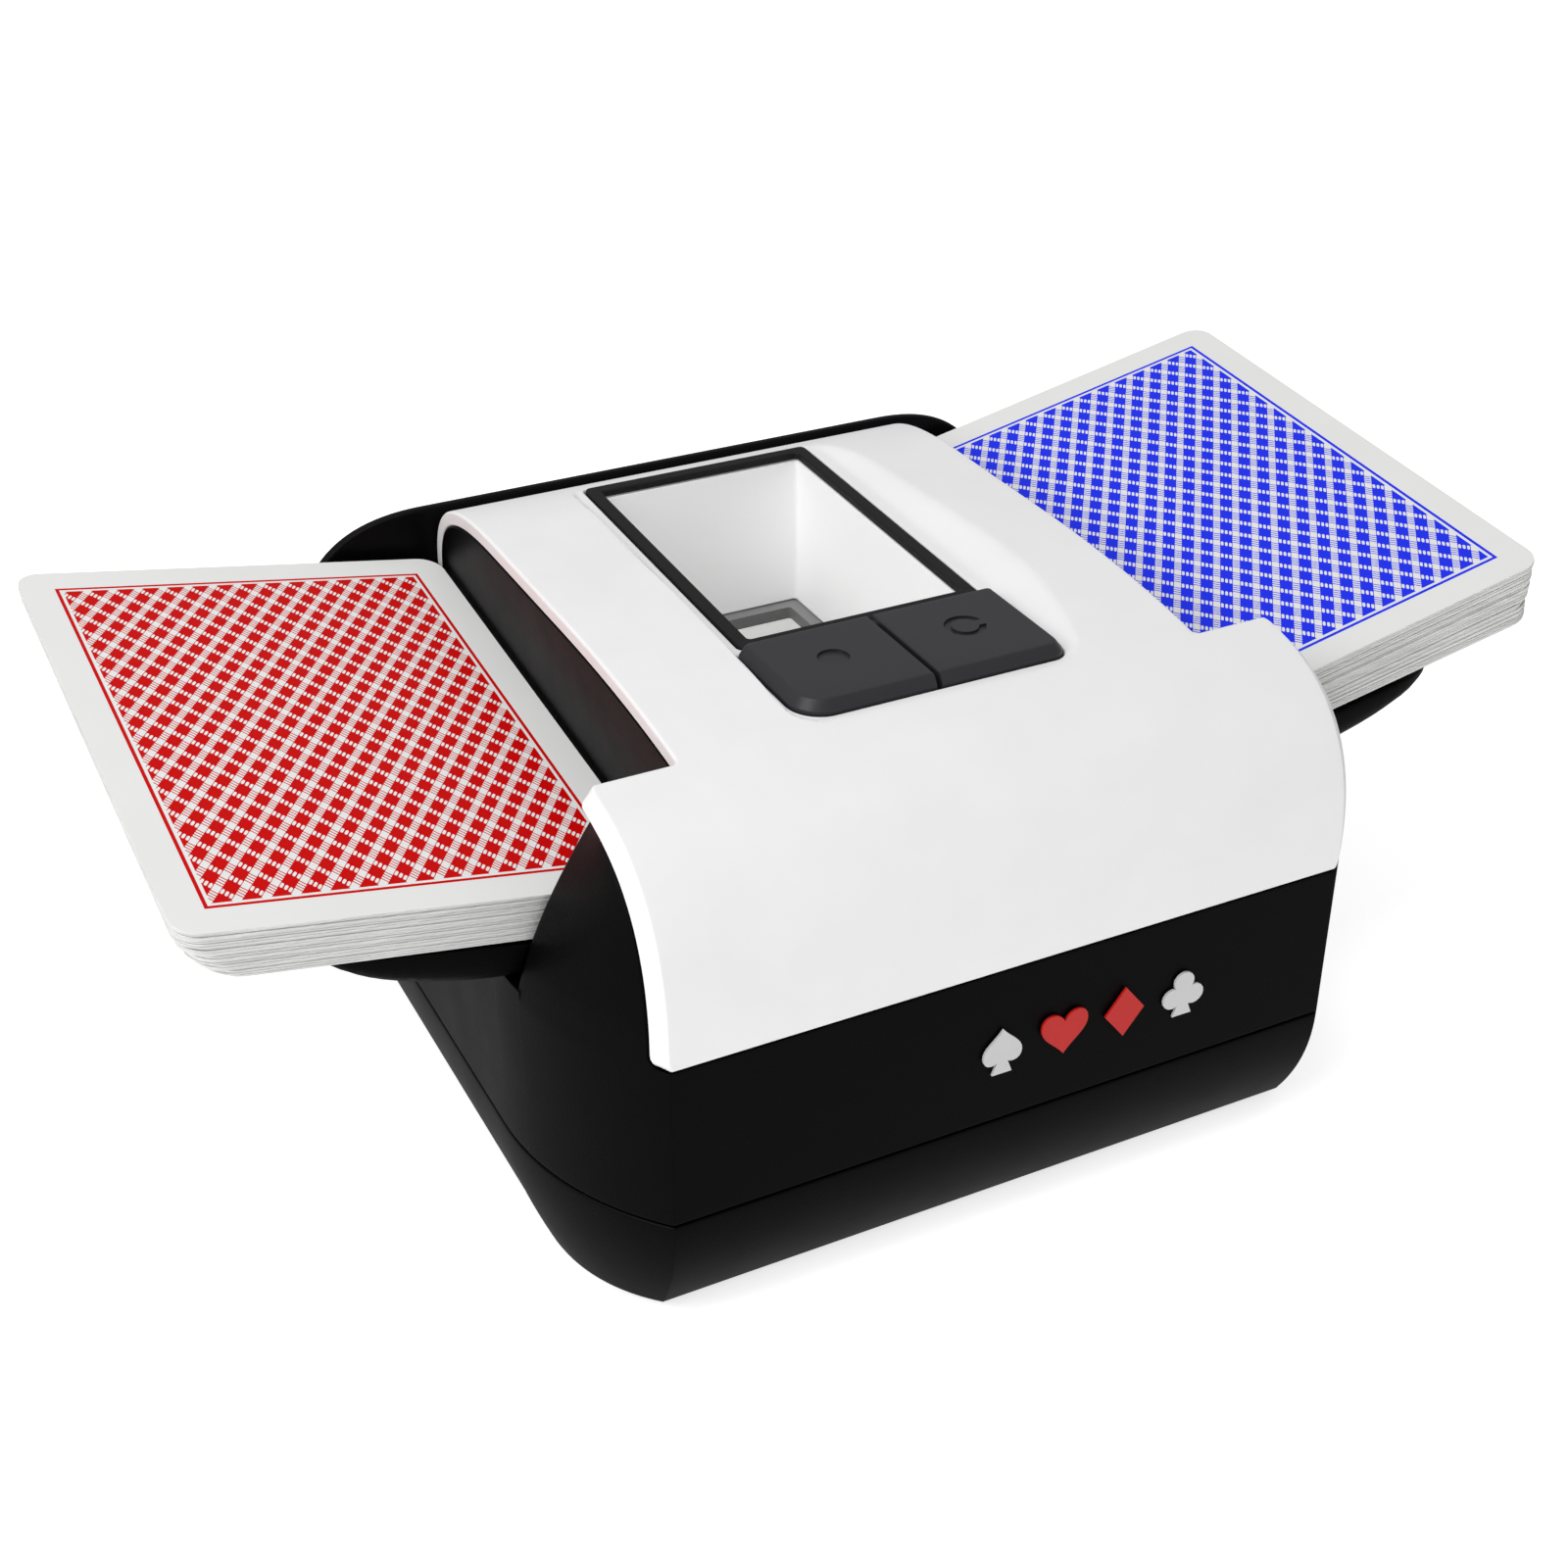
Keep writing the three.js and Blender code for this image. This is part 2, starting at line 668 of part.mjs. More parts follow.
function chuteLiner() {
  const innerTop = GASKET_BAND + 0.1;
  const outerTop = innerTop - CHUTE_WALL;
  const below = spread(underSeat(GASKET_DEPTH + GAP, 40), 30);
  const flangeTop = COVER_THICKNESS + GAP;
  const rim = windowInset(-FLANGE_WIDTH, 2);
  const flange = windowRing(rim, windowInset(outerTop + 0.6, WINDOW_CORNER.inner), UNDER_COVER, SKY)
    .intersect(layer(flangeTop, flangeTop + FLANGE_THICKNESS))
    .intersect(box(-WIDE, WIDE, BUTTON_REAR + GAP, DEPTH, 0, SKY));
  return chuteBlock(outerTop).intersect(below).add(flange).subtract(chuteBlock(innerTop));
}

// A ledge round the foot of the chute, on which the shuffled cards are framed.
function chuteRim() {
  const outer = windowInset(GASKET_BAND - CHUTE_WALL + CHUTE_TAPER, WINDOW_CORNER.inner);
  const inner = windowInset(GASKET_BAND + CHUTE_TAPER + CHUTE_LEDGE, WINDOW_CORNER.inner);
  return windowRing(outer, inner, CHUTE_BOTTOM - GAP - RIM_HEIGHT, CHUTE_BOTTOM - GAP);
}

// ---------------------------------------------------------------- buttons
const BUTTON_SPLIT = 0.4;
const BUTTON_BOTTOM = 67;
const BUTTON_MIDDLE = 34.5;
const BUTTON_BOARD = { half: 23, front: 27, rear: 42.6, bottom: 62.8, top: 64.2 };
const ICON_DEPTH = 0.35;
const ICON_X = 10;

// One button from above, grown by a margin that also closes the split between the two.
function buttonOutline(side, margin) {
  const inner = side * (margin > 0 ? -1 : BUTTON_SPLIT);
  const outer = side * (BUTTON_HALF + margin);
  const corner = side < 0 ? BUTTON_CORNER.left : BUTTON_CORNER.right;
  const turn = side * (BUTTON_HALF - corner);
  const front = BUTTON_FRONT - margin;
  const rear = BUTTON_REAR + margin;
  const shape = new THREE.Shape();
  shape.moveTo(inner, front);
  shape.lineTo(turn, front);
  shape.quadraticCurveTo(outer, front, outer, BUTTON_FRONT + corner);
  shape.lineTo(outer, rear);
  shape.lineTo(inner, rear);
  return shape;
}

// The sunk icons: a dot on the hand-worked button, an open ring on the automatic one.
function dotIcon(x, y) {
  return upright(2, UNDER_COVER, SKY, x, y);
}

function ringIcon(x, y) {
  const ring = upright(2.9, UNDER_COVER, SKY, x, y).subtract(upright(1.9, UNDER_COVER - 1, SKY + 1, x, y));
  return ring.subtract(box(x, x + 4, y - 0.7, y + 0.7, UNDER_COVER - 1, SKY + 1));
}

// A button with a lip under the cover at its outer end, which keeps it from coming out.
function button(side, icon) {
  const crown = spread(underSeat(-BUTTON_PROUD, 40), 30);
  const pocket = spread(underSeat(ICON_DEPTH - BUTTON_PROUD, 30), 31);
  const block = raise(buttonOutline(side, 0), BUTTON_BOTTOM, SKY).intersect(crown);
  const from = Math.min(side * (BUTTON_HALF - 1), side * (BUTTON_HALF + 2));
  const lip = box(from, from + 3, 30, 42, BUTTON_BOTTOM, BUTTON_BOTTOM + 0.9);
  const cut = icon(side * ICON_X, BUTTON_MIDDLE).subtract(pocket);
  return block.add(lip).subtract(cut);
}

function domeSwitch(side) {
  const profile = [[0, 0], [2.6, 0], [2.6, 0.5], [1.6, 0.9], [1.4, 1.2], [0, 1.2]];
  const geometry = new THREE.LatheGeometry(profile.map(([r, h]) => new THREE.Vector2(r, h)), 16);
  geometry.rotateX(Math.PI / 2);
  geometry.translate(side * ICON_X, BUTTON_MIDDLE, BUTTON_BOARD.top + GAP);
  return geometry;
}

// ---------------------------------------------------------------- drawer
const DRAWER_PLAY = 0.4;
const DRAWER_WALL = 1.5;
const PANEL_THICKNESS = 2.1;
const GRIP_RADIUS = 11;

// An open bin with a rear panel that follows the body's undercut, and a round finger grip.
function cardDrawer() {
  const half = DRAWER_DOOR.half - DRAWER_PLAY;
  const bottom = DRAWER_DOOR.bottom + DRAWER_PLAY;
  const front = HEAD_DEPTH + DRAWER_PLAY;
  const panelFront = DEPTH - PANEL_THICKNESS;
  const envelope = baseForm().add(box(-half, half, 10, DEPTH, PARTING_Z - 0.01, SKY));
  const panel = box(-half, half, panelFront, DEPTH, bottom, DRAWER_DOOR.top - DRAWER_PLAY);
  const bin = box(-DRAWER_HALF, DRAWER_HALF, front, DEPTH - 1, bottom, DRAWER_TOP);
  const inner = DRAWER_HALF - DRAWER_WALL;
  const hollow = box(-inner, inner, front + DRAWER_WALL, panelFront, bottom + DRAWER_WALL, SKY);
  const grip = new THREE.CylinderGeometry(GRIP_RADIUS, GRIP_RADIUS, 8, 32);
  grip.translate(0, DEPTH, DRAWER_DOOR.top);
  return bin.subtract(hollow).add(panel).intersect(envelope).subtract(solid(grip));
}

// ---------------------------------------------------------------- trays and decks
const TYRE_OPENING = { half: 7.6, margin: 1.6 };

// The front view of a tray: a flat card floor on a plate that thickens into the wing beyond the body.
function traySection() {
  const floor = (x) => floorAt(x, BAY_FRONT);
  const inner = COVER_HALF_TOP + GAP;
  const outer = TRAY_HALF + 1;
  const root = BAY_HALF - GAP;
  return [[inner, floor(inner)], [inner, floor(inner) - TRAY_PLATE], [root, floor(root) - TRAY_PLATE],
    [root + 0.6, WING_ROOT_Z], [BODY_HALF + 0.4, WING_ROOT_Z], [72, 47.3], [80, 49.8], [outer, 53.4],
    [outer, floor(outer)]];
}

function trayPlan(side) {
  const inner = side * (COVER_HALF_TOP + GAP);
  const outer = side * TRAY_HALF;
  const turn = side * (TRAY_HALF - TRAY_RADIUS);
  const rear = BAY_REAR - GAP;
  const plan = new THREE.Shape();
  plan.moveTo(inner, BAY_FRONT);
  plan.lineTo(turn, BAY_FRONT);
  plan.quadraticCurveTo(outer - side * 1.5, BAY_FRONT + 1.5, outer, BAY_FRONT + TRAY_RADIUS);
  plan.lineTo(outer, rear - TRAY_RADIUS);
  plan.quadraticCurveTo(outer, rear, turn, rear);
  plan.lineTo(inner, rear);
  return plan;
}

function tray(side) {
  let plate = leaned(run(sideOutline(traySection(), side), BAY_FRONT - 2, BAY_REAR + 2));
  plate = plate.intersect(raise(trayPlan(side), 30, SKY));
  const middle = side * ROLLER_X;
  const reach = TYRE_WIDTH / 2 + TYRE_OPENING.margin;
  for (const place of TYRE_PLACES) {
    const y = axisY(place);
    const { half } = TYRE_OPENING;
    plate = plate.subtract(box(middle - half, middle + half, y - reach, y + reach, 40, SKY));
  }
  return plate;
}

// A squared-up stack of cards leaning on the chamber wall: its cards lie along the tray, and the
// stack rises straight up from them.
function deck(side, thickness) {
  const shape = roundedShape(0, CARD_WIDTH, 0, CARD_LENGTH, CARD_CORNER);
  const geometry = extruded(shape, 1, 5);
  const across = new THREE.Vector3(1, 0, side * TILT).normalize();
  const back = new THREE.Vector3(0, 1, PITCH).normalize();
  const steepness = Math.hypot(1, TILT, PITCH);
  const start = new THREE.Vector3(side * DECK_INNER, BAY_FRONT + 0.5, floorAt(DECK_INNER, BAY_FRONT + 0.5));
  start.z += DECK_LIFT * steepness;
  if (side < 0) {
    start.addScaledVector(across, -CARD_WIDTH);
  }
  const rise = new THREE.Vector3(0, 0, thickness * steepness);
  return geometry.applyMatrix4(new THREE.Matrix4().makeBasis(across, back, rise).setPosition(start));
}

// ---------------------------------------------------------------- feed units
// Each unit is built on its roller's axis, which climbs with the tray, its middle at the unit's origin.
const AXIS_DEPTH = (TYRE_RADIUS - TYRE_PROUD) * Math.hypot(1, TILT, PITCH);
const AXIS_MIDDLE = 66;
const PINION_DROP = (GEAR_MODULE * (GEAR_TEETH + PINION_TEETH)) / 2 + GEAR_SPREAD;

function axisY(place) {
  return AXIS_MIDDLE + place * Math.cos(TRAY_PITCH);
}

function gear(teeth, width, bore, phase) {
  const pitchRadius = (GEAR_MODULE * teeth) / 2;
  const tip = pitchRadius + GEAR_MODULE * 0.9;
  const root = pitchRadius - GEAR_MODULE * 1.15;
  const step = (2 * Math.PI) / teeth;
  const shape = new THREE.Shape();
  for (let i = 0; i < teeth; i += 1) {
    const middle = phase + i * step;
    const edges = [[root, -0.23], [tip, -0.1], [tip, 0.1], [root, 0.23]];
    for (const [radius, part] of edges) {
      const angle = middle + part * step;
      const point = [radius * Math.cos(angle), radius * Math.sin(angle)];
      if (i === 0 && part === -0.23) {
        shape.moveTo(...point);
      } else {
        shape.lineTo(...point);
      }
    }
  }
  const hole = new THREE.Path();
  hole.absarc(0, 0, bore, 0, 2 * Math.PI, true);
  shape.holes.push(hole);
  const geometry = extruded(shape, width, 8);
  geometry.rotateX(Math.PI / 2);
  geometry.translate(0, width / 2, 0);
  return geometry;
}

function at(mesh, x, y, z) {
  mesh.position.set(x, y, z);
}

const FRAME = { end: 40.6, half: 6, plate: 1.8, cheek: 1, top: 4.6 };
const MOTOR = { front: -29.9, rear: -12, halfWidth: 6, halfHeight: 5 };
const MOTOR_MOUNT = { thickness: 1.7, top: -2.2, hole: 1.6 };
const BUSH = { radius: 3, width: 3 };

// A channel under the tray: an end cheek round each bush, and a plate that carries the motor.
function feedFrame() {
  const { end, half, plate, cheek, top } = FRAME;
  const low = -PINION_DROP - 7.2;
  let frame = box(-half, half, -end - cheek, end + cheek, low, low + plate);
  for (const y of [-end, end]) {
    frame = frame.add(box(-half, half, y - cheek, y + cheek, low, top));
    frame = frame.subtract(solid(turned(BUSH.radius + GAP, 12).translate(0, y, 0)));
  }
  const face = MOTOR.front - GAP;
  const mount = box(-half, half, face - MOTOR_MOUNT.thickness, face, low, MOTOR_MOUNT.top);
  const hole = solid(turned(MOTOR_MOUNT.hole, 8).translate(0, MOTOR.front, -PINION_DROP));
  return frame.add(mount).subtract(hole);
}

function motorCan() {
  const { front, rear, halfWidth, halfHeight } = MOTOR;
  const can = solid(turned(halfWidth, rear - front).translate(0, (front + rear) / 2, 0));
  const flats = box(-halfWidth, halfWidth, front, rear, -halfHeight, halfHeight);
  const socket = solid(turned(1, 8).translate(0, front, 0));
  return can.intersect(flats).subtract(socket);
}

// The pinion and the motor's shaft, one piece that reaches into the motor.
function pinionSolid() {
  const phase = Math.PI / 2 + Math.PI / PINION_TEETH;
  const teeth = solid(gear(PINION_TEETH, 3.4, 0.4, phase).translate(0, GEAR_PLACE, 0));
  const from = GEAR_PLACE - 2;
  const length = MOTOR.front + 3 - from;
  return teeth.add(solid(turned(0.6, length, 0, 16).translate(0, from + length / 2, 0)));
}

// Two rubber tyres on hubs, a gear, and a bush at each end, all on one shaft.
function rollerParts(name, unit) {
  const bore = SHAFT_RADIUS + GAP;
  const put = (piece, geometry, material, y) => {
    at(add(`${name}_${piece}`, geometry, material, unit), 0, y, 0);
  };
  put('roller_shaft', turned(SHAFT_RADIUS, 2 * SHAFT_HALF, 0, 16), steel(), 0);
  TYRE_PLACES.forEach((place, i) => {
    put(`roller_hub_${i + 1}`, turned(HUB_RADIUS, TYRE_WIDTH, bore), nylon(), place);
    put(`feed_tyre_${i + 1}`, turned(TYRE_RADIUS, TYRE_WIDTH, HUB_RADIUS + GAP, 32), tyreRubber(), place);
  });
  put('roller_gear', gear(GEAR_TEETH, 3, bore, -Math.PI / 2), nylon(), GEAR_PLACE);
  put('front_bush', turned(BUSH.radius, BUSH.width, bore, 20), brass(), -FRAME.end);
  put('rear_bush', turned(BUSH.radius, BUSH.width, bore, 20), brass(), FRAME.end);
}

function feedUnit(name, side) {
  const unit = new THREE.Group();
  const middle = floorAt(ROLLER_X, AXIS_MIDDLE) - AXIS_DEPTH;
  unit.position.set(side * ROLLER_X, AXIS_MIDDLE, middle);
  unit.rotation.x = TRAY_PITCH;
  shuffler.add(unit);
  rollerParts(name, unit);
  add(`${name}_feed_frame`, feedFrame(), black(), unit);
  at(add(`${name}_motor`, motorCan(), steel(), unit), 0, 0, -PINION_DROP);
  at(add(`${name}_motor_pinion`, pinionSolid(), brass(), unit), 0, 0, -PINION_DROP);
}

// ---------------------------------------------------------------- boards, cell and port
function roundedBlock(x0, x1, z0, z1, y0, y1, radius) {
  return run(roundedShape(x0, x1, z0, z1, radius), y0, y1, 5);
}

function chargePort() {
  const { x, z, depth, shellWall } = PORT;
  const shell = run(portShape(0), DEPTH - depth, DEPTH - 0.4, 8);
  const mouth = run(portShape(-shellWall), DEPTH - depth + 1, DEPTH + 1, 8);
  const tongue = box(x - 3, x + 3, DEPTH - depth + 0.4, DEPTH - 1.6, z - 0.35, z + 0.35);
  return shell.subtract(mouth).add(tongue);
}

// ---------------------------------------------------------------- front badge
const BADGE_Z = 30;
const BADGE_STEP = 9.5;
const BADGE_X = -3;
const BADGE_RAISE = 0.35;
const BADGE_SIZE = 3.6;

function heartShape(size) {
  const shape = new THREE.Shape();
  shape.moveTo(0, -size);
  shape.bezierCurveTo(size * 0.4, -size * 0.45, size, -size * 0.2, size, size * 0.35);
  shape.bezierCurveTo(size, size * 1.0, size * 0.2, size * 1.0, 0, size * 0.45);
  shape.bezierCurveTo(-size * 0.2, size * 1.0, -size, size * 1.0, -size, size * 0.35);
  shape.bezierCurveTo(-size, -size * 0.2, -size * 0.4, -size * 0.45, 0, -size);
  return shape;
}

function diamondShape(size) {
  return shapeOf([[0, -size], [size * 0.78, 0], [0, size], [-size * 0.78, 0]]);
}

function stalk(size) {
  const foot = size * 0.42;
  const neck = size * 0.08;
  return shapeOf([[-foot, -size], [foot, -size], [neck, -neck], [-neck, -neck]]);
}

function badgeSolid(shape) {
  return run(shape, -GAP - BADGE_RAISE, -GAP, 8);
}

function disc(x, z, radius) {
  const shape = new THREE.Shape();
  shape.absarc(x, z, radius, 0, 2 * Math.PI);
  return badgeSolid(shape);
}

function spade(size) {
  const leaf = geometryOf(badgeSolid(heartShape(size * 0.82)));
  leaf.rotateY(Math.PI);
  leaf.translate(0, 0, size * 0.15);
  return solid(leaf).add(badgeSolid(stalk(size)));
}

function club(size) {
  const lobe = size * 0.44;
  return disc(0, size * 0.5, lobe)
    .add(disc(-size * 0.47, -size * 0.16, lobe))
    .add(disc(size * 0.47, -size * 0.16, lobe))
    .add(disc(0, 0, size * 0.25))
    .add(badgeSolid(stalk(size)));
}

// ---------------------------------------------------------------- assembly
add('base_tray', baseTray(), black());
add('mid_casing', midCasing(), black());
add('top_cover', topCover(), white());
add('window_gasket', windowGasket(), plastic(0x2c2c2d, 0.7));
add('chute_liner', chuteLiner(), plastic(0xe6e6e6, 0.45));
add('chute_rim', chuteRim(), plastic(0x8a8a8a, 0.6));
add('card_drawer', cardDrawer(), plastic(0xe4e4e4, 0.45));
FOOT_PLACES.forEach((place, i) => add(`foot_${i + 1}`, foot(place), plastic(0x2a2a2a, 0.9)));
SCREW_PLACES.forEach((place, i) => add(`base_screw_${i + 1}`, screw(place), steel()));

add('manual_button', button(-1, dotIcon), plastic(0x3a3a3d, 0.4));
add('auto_button', button(1, ringIcon), plastic(0x3a3a3d, 0.4));
const { half, front, rear, bottom, top } = BUTTON_BOARD;
add('button_board', box(-half, half, front, rear, bottom, top), board());
add('manual_switch', domeSwitch(-1), plastic(0x222222, 0.5));
add('auto_switch', domeSwitch(1), plastic(0x222222, 0.5));

add('main_board', roundedBlock(-44, -3, 22, 46, 5.4, 7, 1.5), board());
add('battery_pack', roundedBlock(2, 44, 21, 50, 7, 16.5, 2), plastic(0x4a6fa5, 0.5));
add('charge_port', chargePort(), steel());
add('charge_board', box(-55, -42, DEPTH - 15, DEPTH - REAR_WALL - 0.4, 26.4, 28), board());

for (const [name, side] of SIDES) {
  add(`${name}_card_tray`, tray(side), black());
  feedUnit(name, side);
}

add('red_deck', deck(-1, DECK_THICKNESS.red), plastic(0xe8e8e8, 0.6));
add('blue_deck', deck(1, DECK_THICKNESS.blue), plastic(0xe8e8e8, 0.6));

const badges = [
  ['spade', spade(BADGE_SIZE), 0xd0d0d0],
  ['heart', badgeSolid(heartShape(BADGE_SIZE)), 0xc4201c],
  ['diamond', badgeSolid(diamondShape(BADGE_SIZE * 1.1)), 0xc4201c],
  ['club', club(BADGE_SIZE), 0xd0d0d0],
];
badges.forEach(([name, shape, colour], i) => {
  const mesh = add(`badge_${name}`, shape, plastic(colour, 0.4));
  at(mesh, BADGE_X + i * BADGE_STEP, 0, BADGE_Z);
});

export default shuffler;
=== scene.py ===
# Automatic card shuffler: fine surfaces, materials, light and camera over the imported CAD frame.
import math
import random

import bmesh
import bpy
from mathutils import Matrix, Vector


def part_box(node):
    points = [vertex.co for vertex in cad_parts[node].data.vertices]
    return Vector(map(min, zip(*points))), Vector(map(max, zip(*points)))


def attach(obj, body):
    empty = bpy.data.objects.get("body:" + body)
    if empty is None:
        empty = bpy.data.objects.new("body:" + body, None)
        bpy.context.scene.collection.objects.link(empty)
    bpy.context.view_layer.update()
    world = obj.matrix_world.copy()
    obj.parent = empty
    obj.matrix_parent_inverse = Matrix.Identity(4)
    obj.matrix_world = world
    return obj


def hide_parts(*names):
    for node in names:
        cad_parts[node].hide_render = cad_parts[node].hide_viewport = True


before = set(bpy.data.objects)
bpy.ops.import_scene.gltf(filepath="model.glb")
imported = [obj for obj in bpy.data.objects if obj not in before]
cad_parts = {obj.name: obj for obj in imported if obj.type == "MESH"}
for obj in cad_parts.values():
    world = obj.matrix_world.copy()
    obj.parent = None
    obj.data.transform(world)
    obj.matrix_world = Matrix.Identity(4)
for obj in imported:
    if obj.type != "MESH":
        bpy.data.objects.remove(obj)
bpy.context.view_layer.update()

# ---------------------------------------------------------------- driving dimensions
# Millimetres from the middle of the front face, at the underside of the base.
MM = 0.001
FRONT_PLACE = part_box("mid_casing")[0].y
BASE_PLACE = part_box("base_tray")[0].z
TO_FRAME = Matrix.Translation((0, FRONT_PLACE, BASE_PLACE)) @ Matrix.Scale(MM, 4)

DEPTH = 114.0
FRONT_HALF = 50.0
BODY_HALF = 61.8
CORNER_RADIUS = 40.0
CORNER_CENTRE = (BODY_HALF - CORNER_RADIUS, 28.5)
REAR_RADIUS = 7.0
PARTING = 17.9
GAP = 0.3
HEAD_DEPTH = 21.5
REAR_WALL = 1.8
BAY_FRONT = HEAD_DEPTH + GAP
BAY_REAR = DEPTH - REAR_WALL
SKY = 95.0
BODY_TOP = 69.0

COVER_BOTTOM = 42.4
COVER_THICKNESS = 2.1
COVER_HALF_FRONT = 51.7
COVER_HALF_TOP = 38.5
COVER_CORNER = 2.0
COVER_BREAK = 0.15
STEP_FILLET = 0.8
CHAMFER = 1.7
FILLET = 0.45

CARD = (63.0, 88.0)
CARD_CORNER = 3.5
CARD_THICKNESS = 0.28
DECK_INNER = 39.0
TILT = 0.187
PITCH = math.tan(math.radians(5))
TRAY_FLOOR = 46.7
TRAY_HALF = 86.0
TRAY_RADIUS = 14.0
ROLLER_X = 48.9
ROLLER_Y = 66.0

WINDOW = {"half": 18.6, "front": 44.6, "rear": 99.2}
WINDOW_CORNER = {"cover": 1.2, "gasket": 0.9, "inner": 0.6}
GASKET_BAND = 2.0
GASKET_PROUD = 0.25
GASKET_DEPTH = 0.8
BUTTON = {"half": 19.9, "front": 23.8, "rear": 43.1, "proud": 1.7, "split": 0.4, "bevel": 1.0}
BUTTON_CORNER = {-1: 4.5, 1: 2.5}
# The shallow seat round the window and the buttons.
SEAT = {"half": 20.6, "front": 23.0, "rear": 99.8, "corner": 4.0, "low": 71.5, "high": 73.1}


# ---------------------------------------------------------------- mesh helpers
def piece(bm, name, material, body, nodes=(), angle=32, second=None):
    """Turns millimetres into the frame's metres and hands the piece to its body. Faces whose
    material index is 1 get the second material."""
    bmesh.ops.recalc_face_normals(bm, faces=bm.faces[:])
    bm.transform(TO_FRAME)
    mesh = bpy.data.meshes.new(name)
    bm.to_mesh(mesh)
    bm.free()
    obj = bpy.data.objects.new(name, mesh)
    bpy.context.collection.objects.link(obj)
    mesh.materials.append(material)
    if second:
        mesh.materials.append(second)
    smooth(obj, angle)
    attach(obj, body)
    if nodes:
        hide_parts(*nodes)
    return obj


def smooth(obj, angle):
    """Smooth shading with sharp edges where the faces turn."""
    obj.data.shade_smooth()
    obj.data.set_sharp_from_angle(angle=math.radians(angle))
    normals = obj.modifiers.new("normals", "WEIGHTED_NORMAL")
    normals.keep_sharp = True


def loft(rings):
    """A closed skin over rings of points, all with the same count."""
    bm = bmesh.new()
    levels = [[bm.verts.new(point) for point in ring] for ring in rings]
    count = len(levels[0])
    for low, high in zip(levels, levels[1:]):
        for i in range(count):
            j = (i + 1) % count
            bm.faces.new((low[i], low[j], high[j], high[i]))
    bm.faces.new(levels[0])
    bm.faces.new(levels[-1])
    bmesh.ops.recalc_face_normals(bm, faces=bm.faces[:])
    return bm


def plate(walls, heights, cuts_x=(), cuts_y=()):
    """A flat plate. walls[0] is its outline and the rest are holes, each a list of rings; ring k of
    every wall lies at heights[k], from the top face down to the bottom face. The cuts add the
    vertices that a later bend needs."""
    bm = bmesh.new()
    top, bottom = [], []
    for rings in walls:
        levels = [
            [bm.verts.new((x, y, height)) for x, y in ring] for ring, height in zip(rings, heights)
        ]
        count = len(levels[0])
        for high, low in zip(levels, levels[1:]):
            for i in range(count):
                j = (i + 1) % count
                bm.faces.new((high[i], high[j], low[j], low[i]))
        for level, edges in ((levels[0], top), (levels[-1], bottom)):
            edges.extend(bm.edges.get((level[i - 1], level[i])) for i in range(count))
    for edges in (top, bottom):
        bmesh.ops.triangle_fill(bm, use_beauty=True, edges=edges)
    for axis, places in ((Vector((1, 0, 0)), cuts_x), (Vector((0, 1, 0)), cuts_y)):
        for place in places:
            everything = bm.verts[:] + bm.edges[:] + bm.faces[:]
            bmesh.ops.bisect_plane(bm, geom=everything, dist=1e-5, plane_co=axis * place, plane_no=axis)
    bmesh.ops.recalc_face_normals(bm, faces=bm.faces[:])
    return bm


def moved(bm, move):
    """Sends every vertex through a function of its place."""
    for vertex in bm.verts:
        vertex.co = move(*vertex.co)
    return bm


def box(x0, x1, y0, y1, z0, z1):
    corners = [(x0, y0), (x1, y0), (x1, y1), (x0, y1)]
    return loft([level(corners, z) for z in (z0, z1)])


def upright(radius, z0, z1, x, y, segments=48):
    """An upright cylinder."""
    ring = arc(x, y, radius, radius, 0, 360, segments)[:-1]
    return loft([level(ring, z) for z in (z0, z1)])


def along_y(outline, stations):
    """Rings of an outline in x and z at several y, each moved inward by its own amount."""
    return loft([[(x, y, z) for x, z in offset(outline, inset)] for y, inset in stations])


def temporary(bm):
    """An object that holds a mesh for the boolean modifiers."""
    mesh = bpy.data.meshes.new("temporary")
    bm.to_mesh(mesh)
    bm.free()
    obj = bpy.data.objects.new("temporary", mesh)
    bpy.context.collection.objects.link(obj)
    return obj


def combine(base, *operations):
    """Applies ("UNION" | "DIFFERENCE" | "INTERSECT", mesh) pairs to a mesh, in order."""
    target = temporary(base)
    helpers = []
    for operation, other in operations:
        helper = temporary(other)
        helpers.append(helper)
        modifier = target.modifiers.new("combine", "BOOLEAN")
        modifier.operation = operation
        modifier.solver = "MANIFOLD"
        modifier.object = helper
    graph = bpy.context.evaluated_depsgraph_get()
    result = bmesh.new()
    result.from_mesh(target.evaluated_get(graph).to_mesh())
    for obj in [target, *helpers]:
        mesh = obj.data
        bpy.data.objects.remove(obj)
        bpy.data.meshes.remove(mesh)
    return result


# ---------------------------------------------------------------- outlines
def steps(start, end, count):
    return [start + (end - start) * i / count for i in range(count + 1)]


def arc(cx, cy, rx, ry, start, end, count=8):
    """Points on an ellipse's arc, with the angles in degrees."""
    angles = [math.radians(a) for a in steps(start, end, count)]
    return [(cx + rx * math.cos(a), cy + ry * math.sin(a)) for a in angles]


def bezier(p0, p1, p2, p3, count):
    points = []
    for t in steps(0, 1, count):
        u = 1 - t
        weights = (u**3, 3 * u * u * t, 3 * u * t * t, t**3)
        points.append(tuple(sum(w * p[k] for w, p in zip(weights, (p0, p1, p2, p3))) for k in (0, 1)))
    return points


def rounded(x0, x1, y0, y1, radius, count=8):
    return (
        arc(x1 - radius, y0 + radius, radius, radius, -90, 0, count)
        + arc(x1 - radius, y1 - radius, radius, radius, 0, 90, count)
        + arc(x0 + radius, y1 - radius, radius, radius, 90, 180, count)
        + arc(x0 + radius, y0 + radius, radius, radius, 180, 270, count)
    )


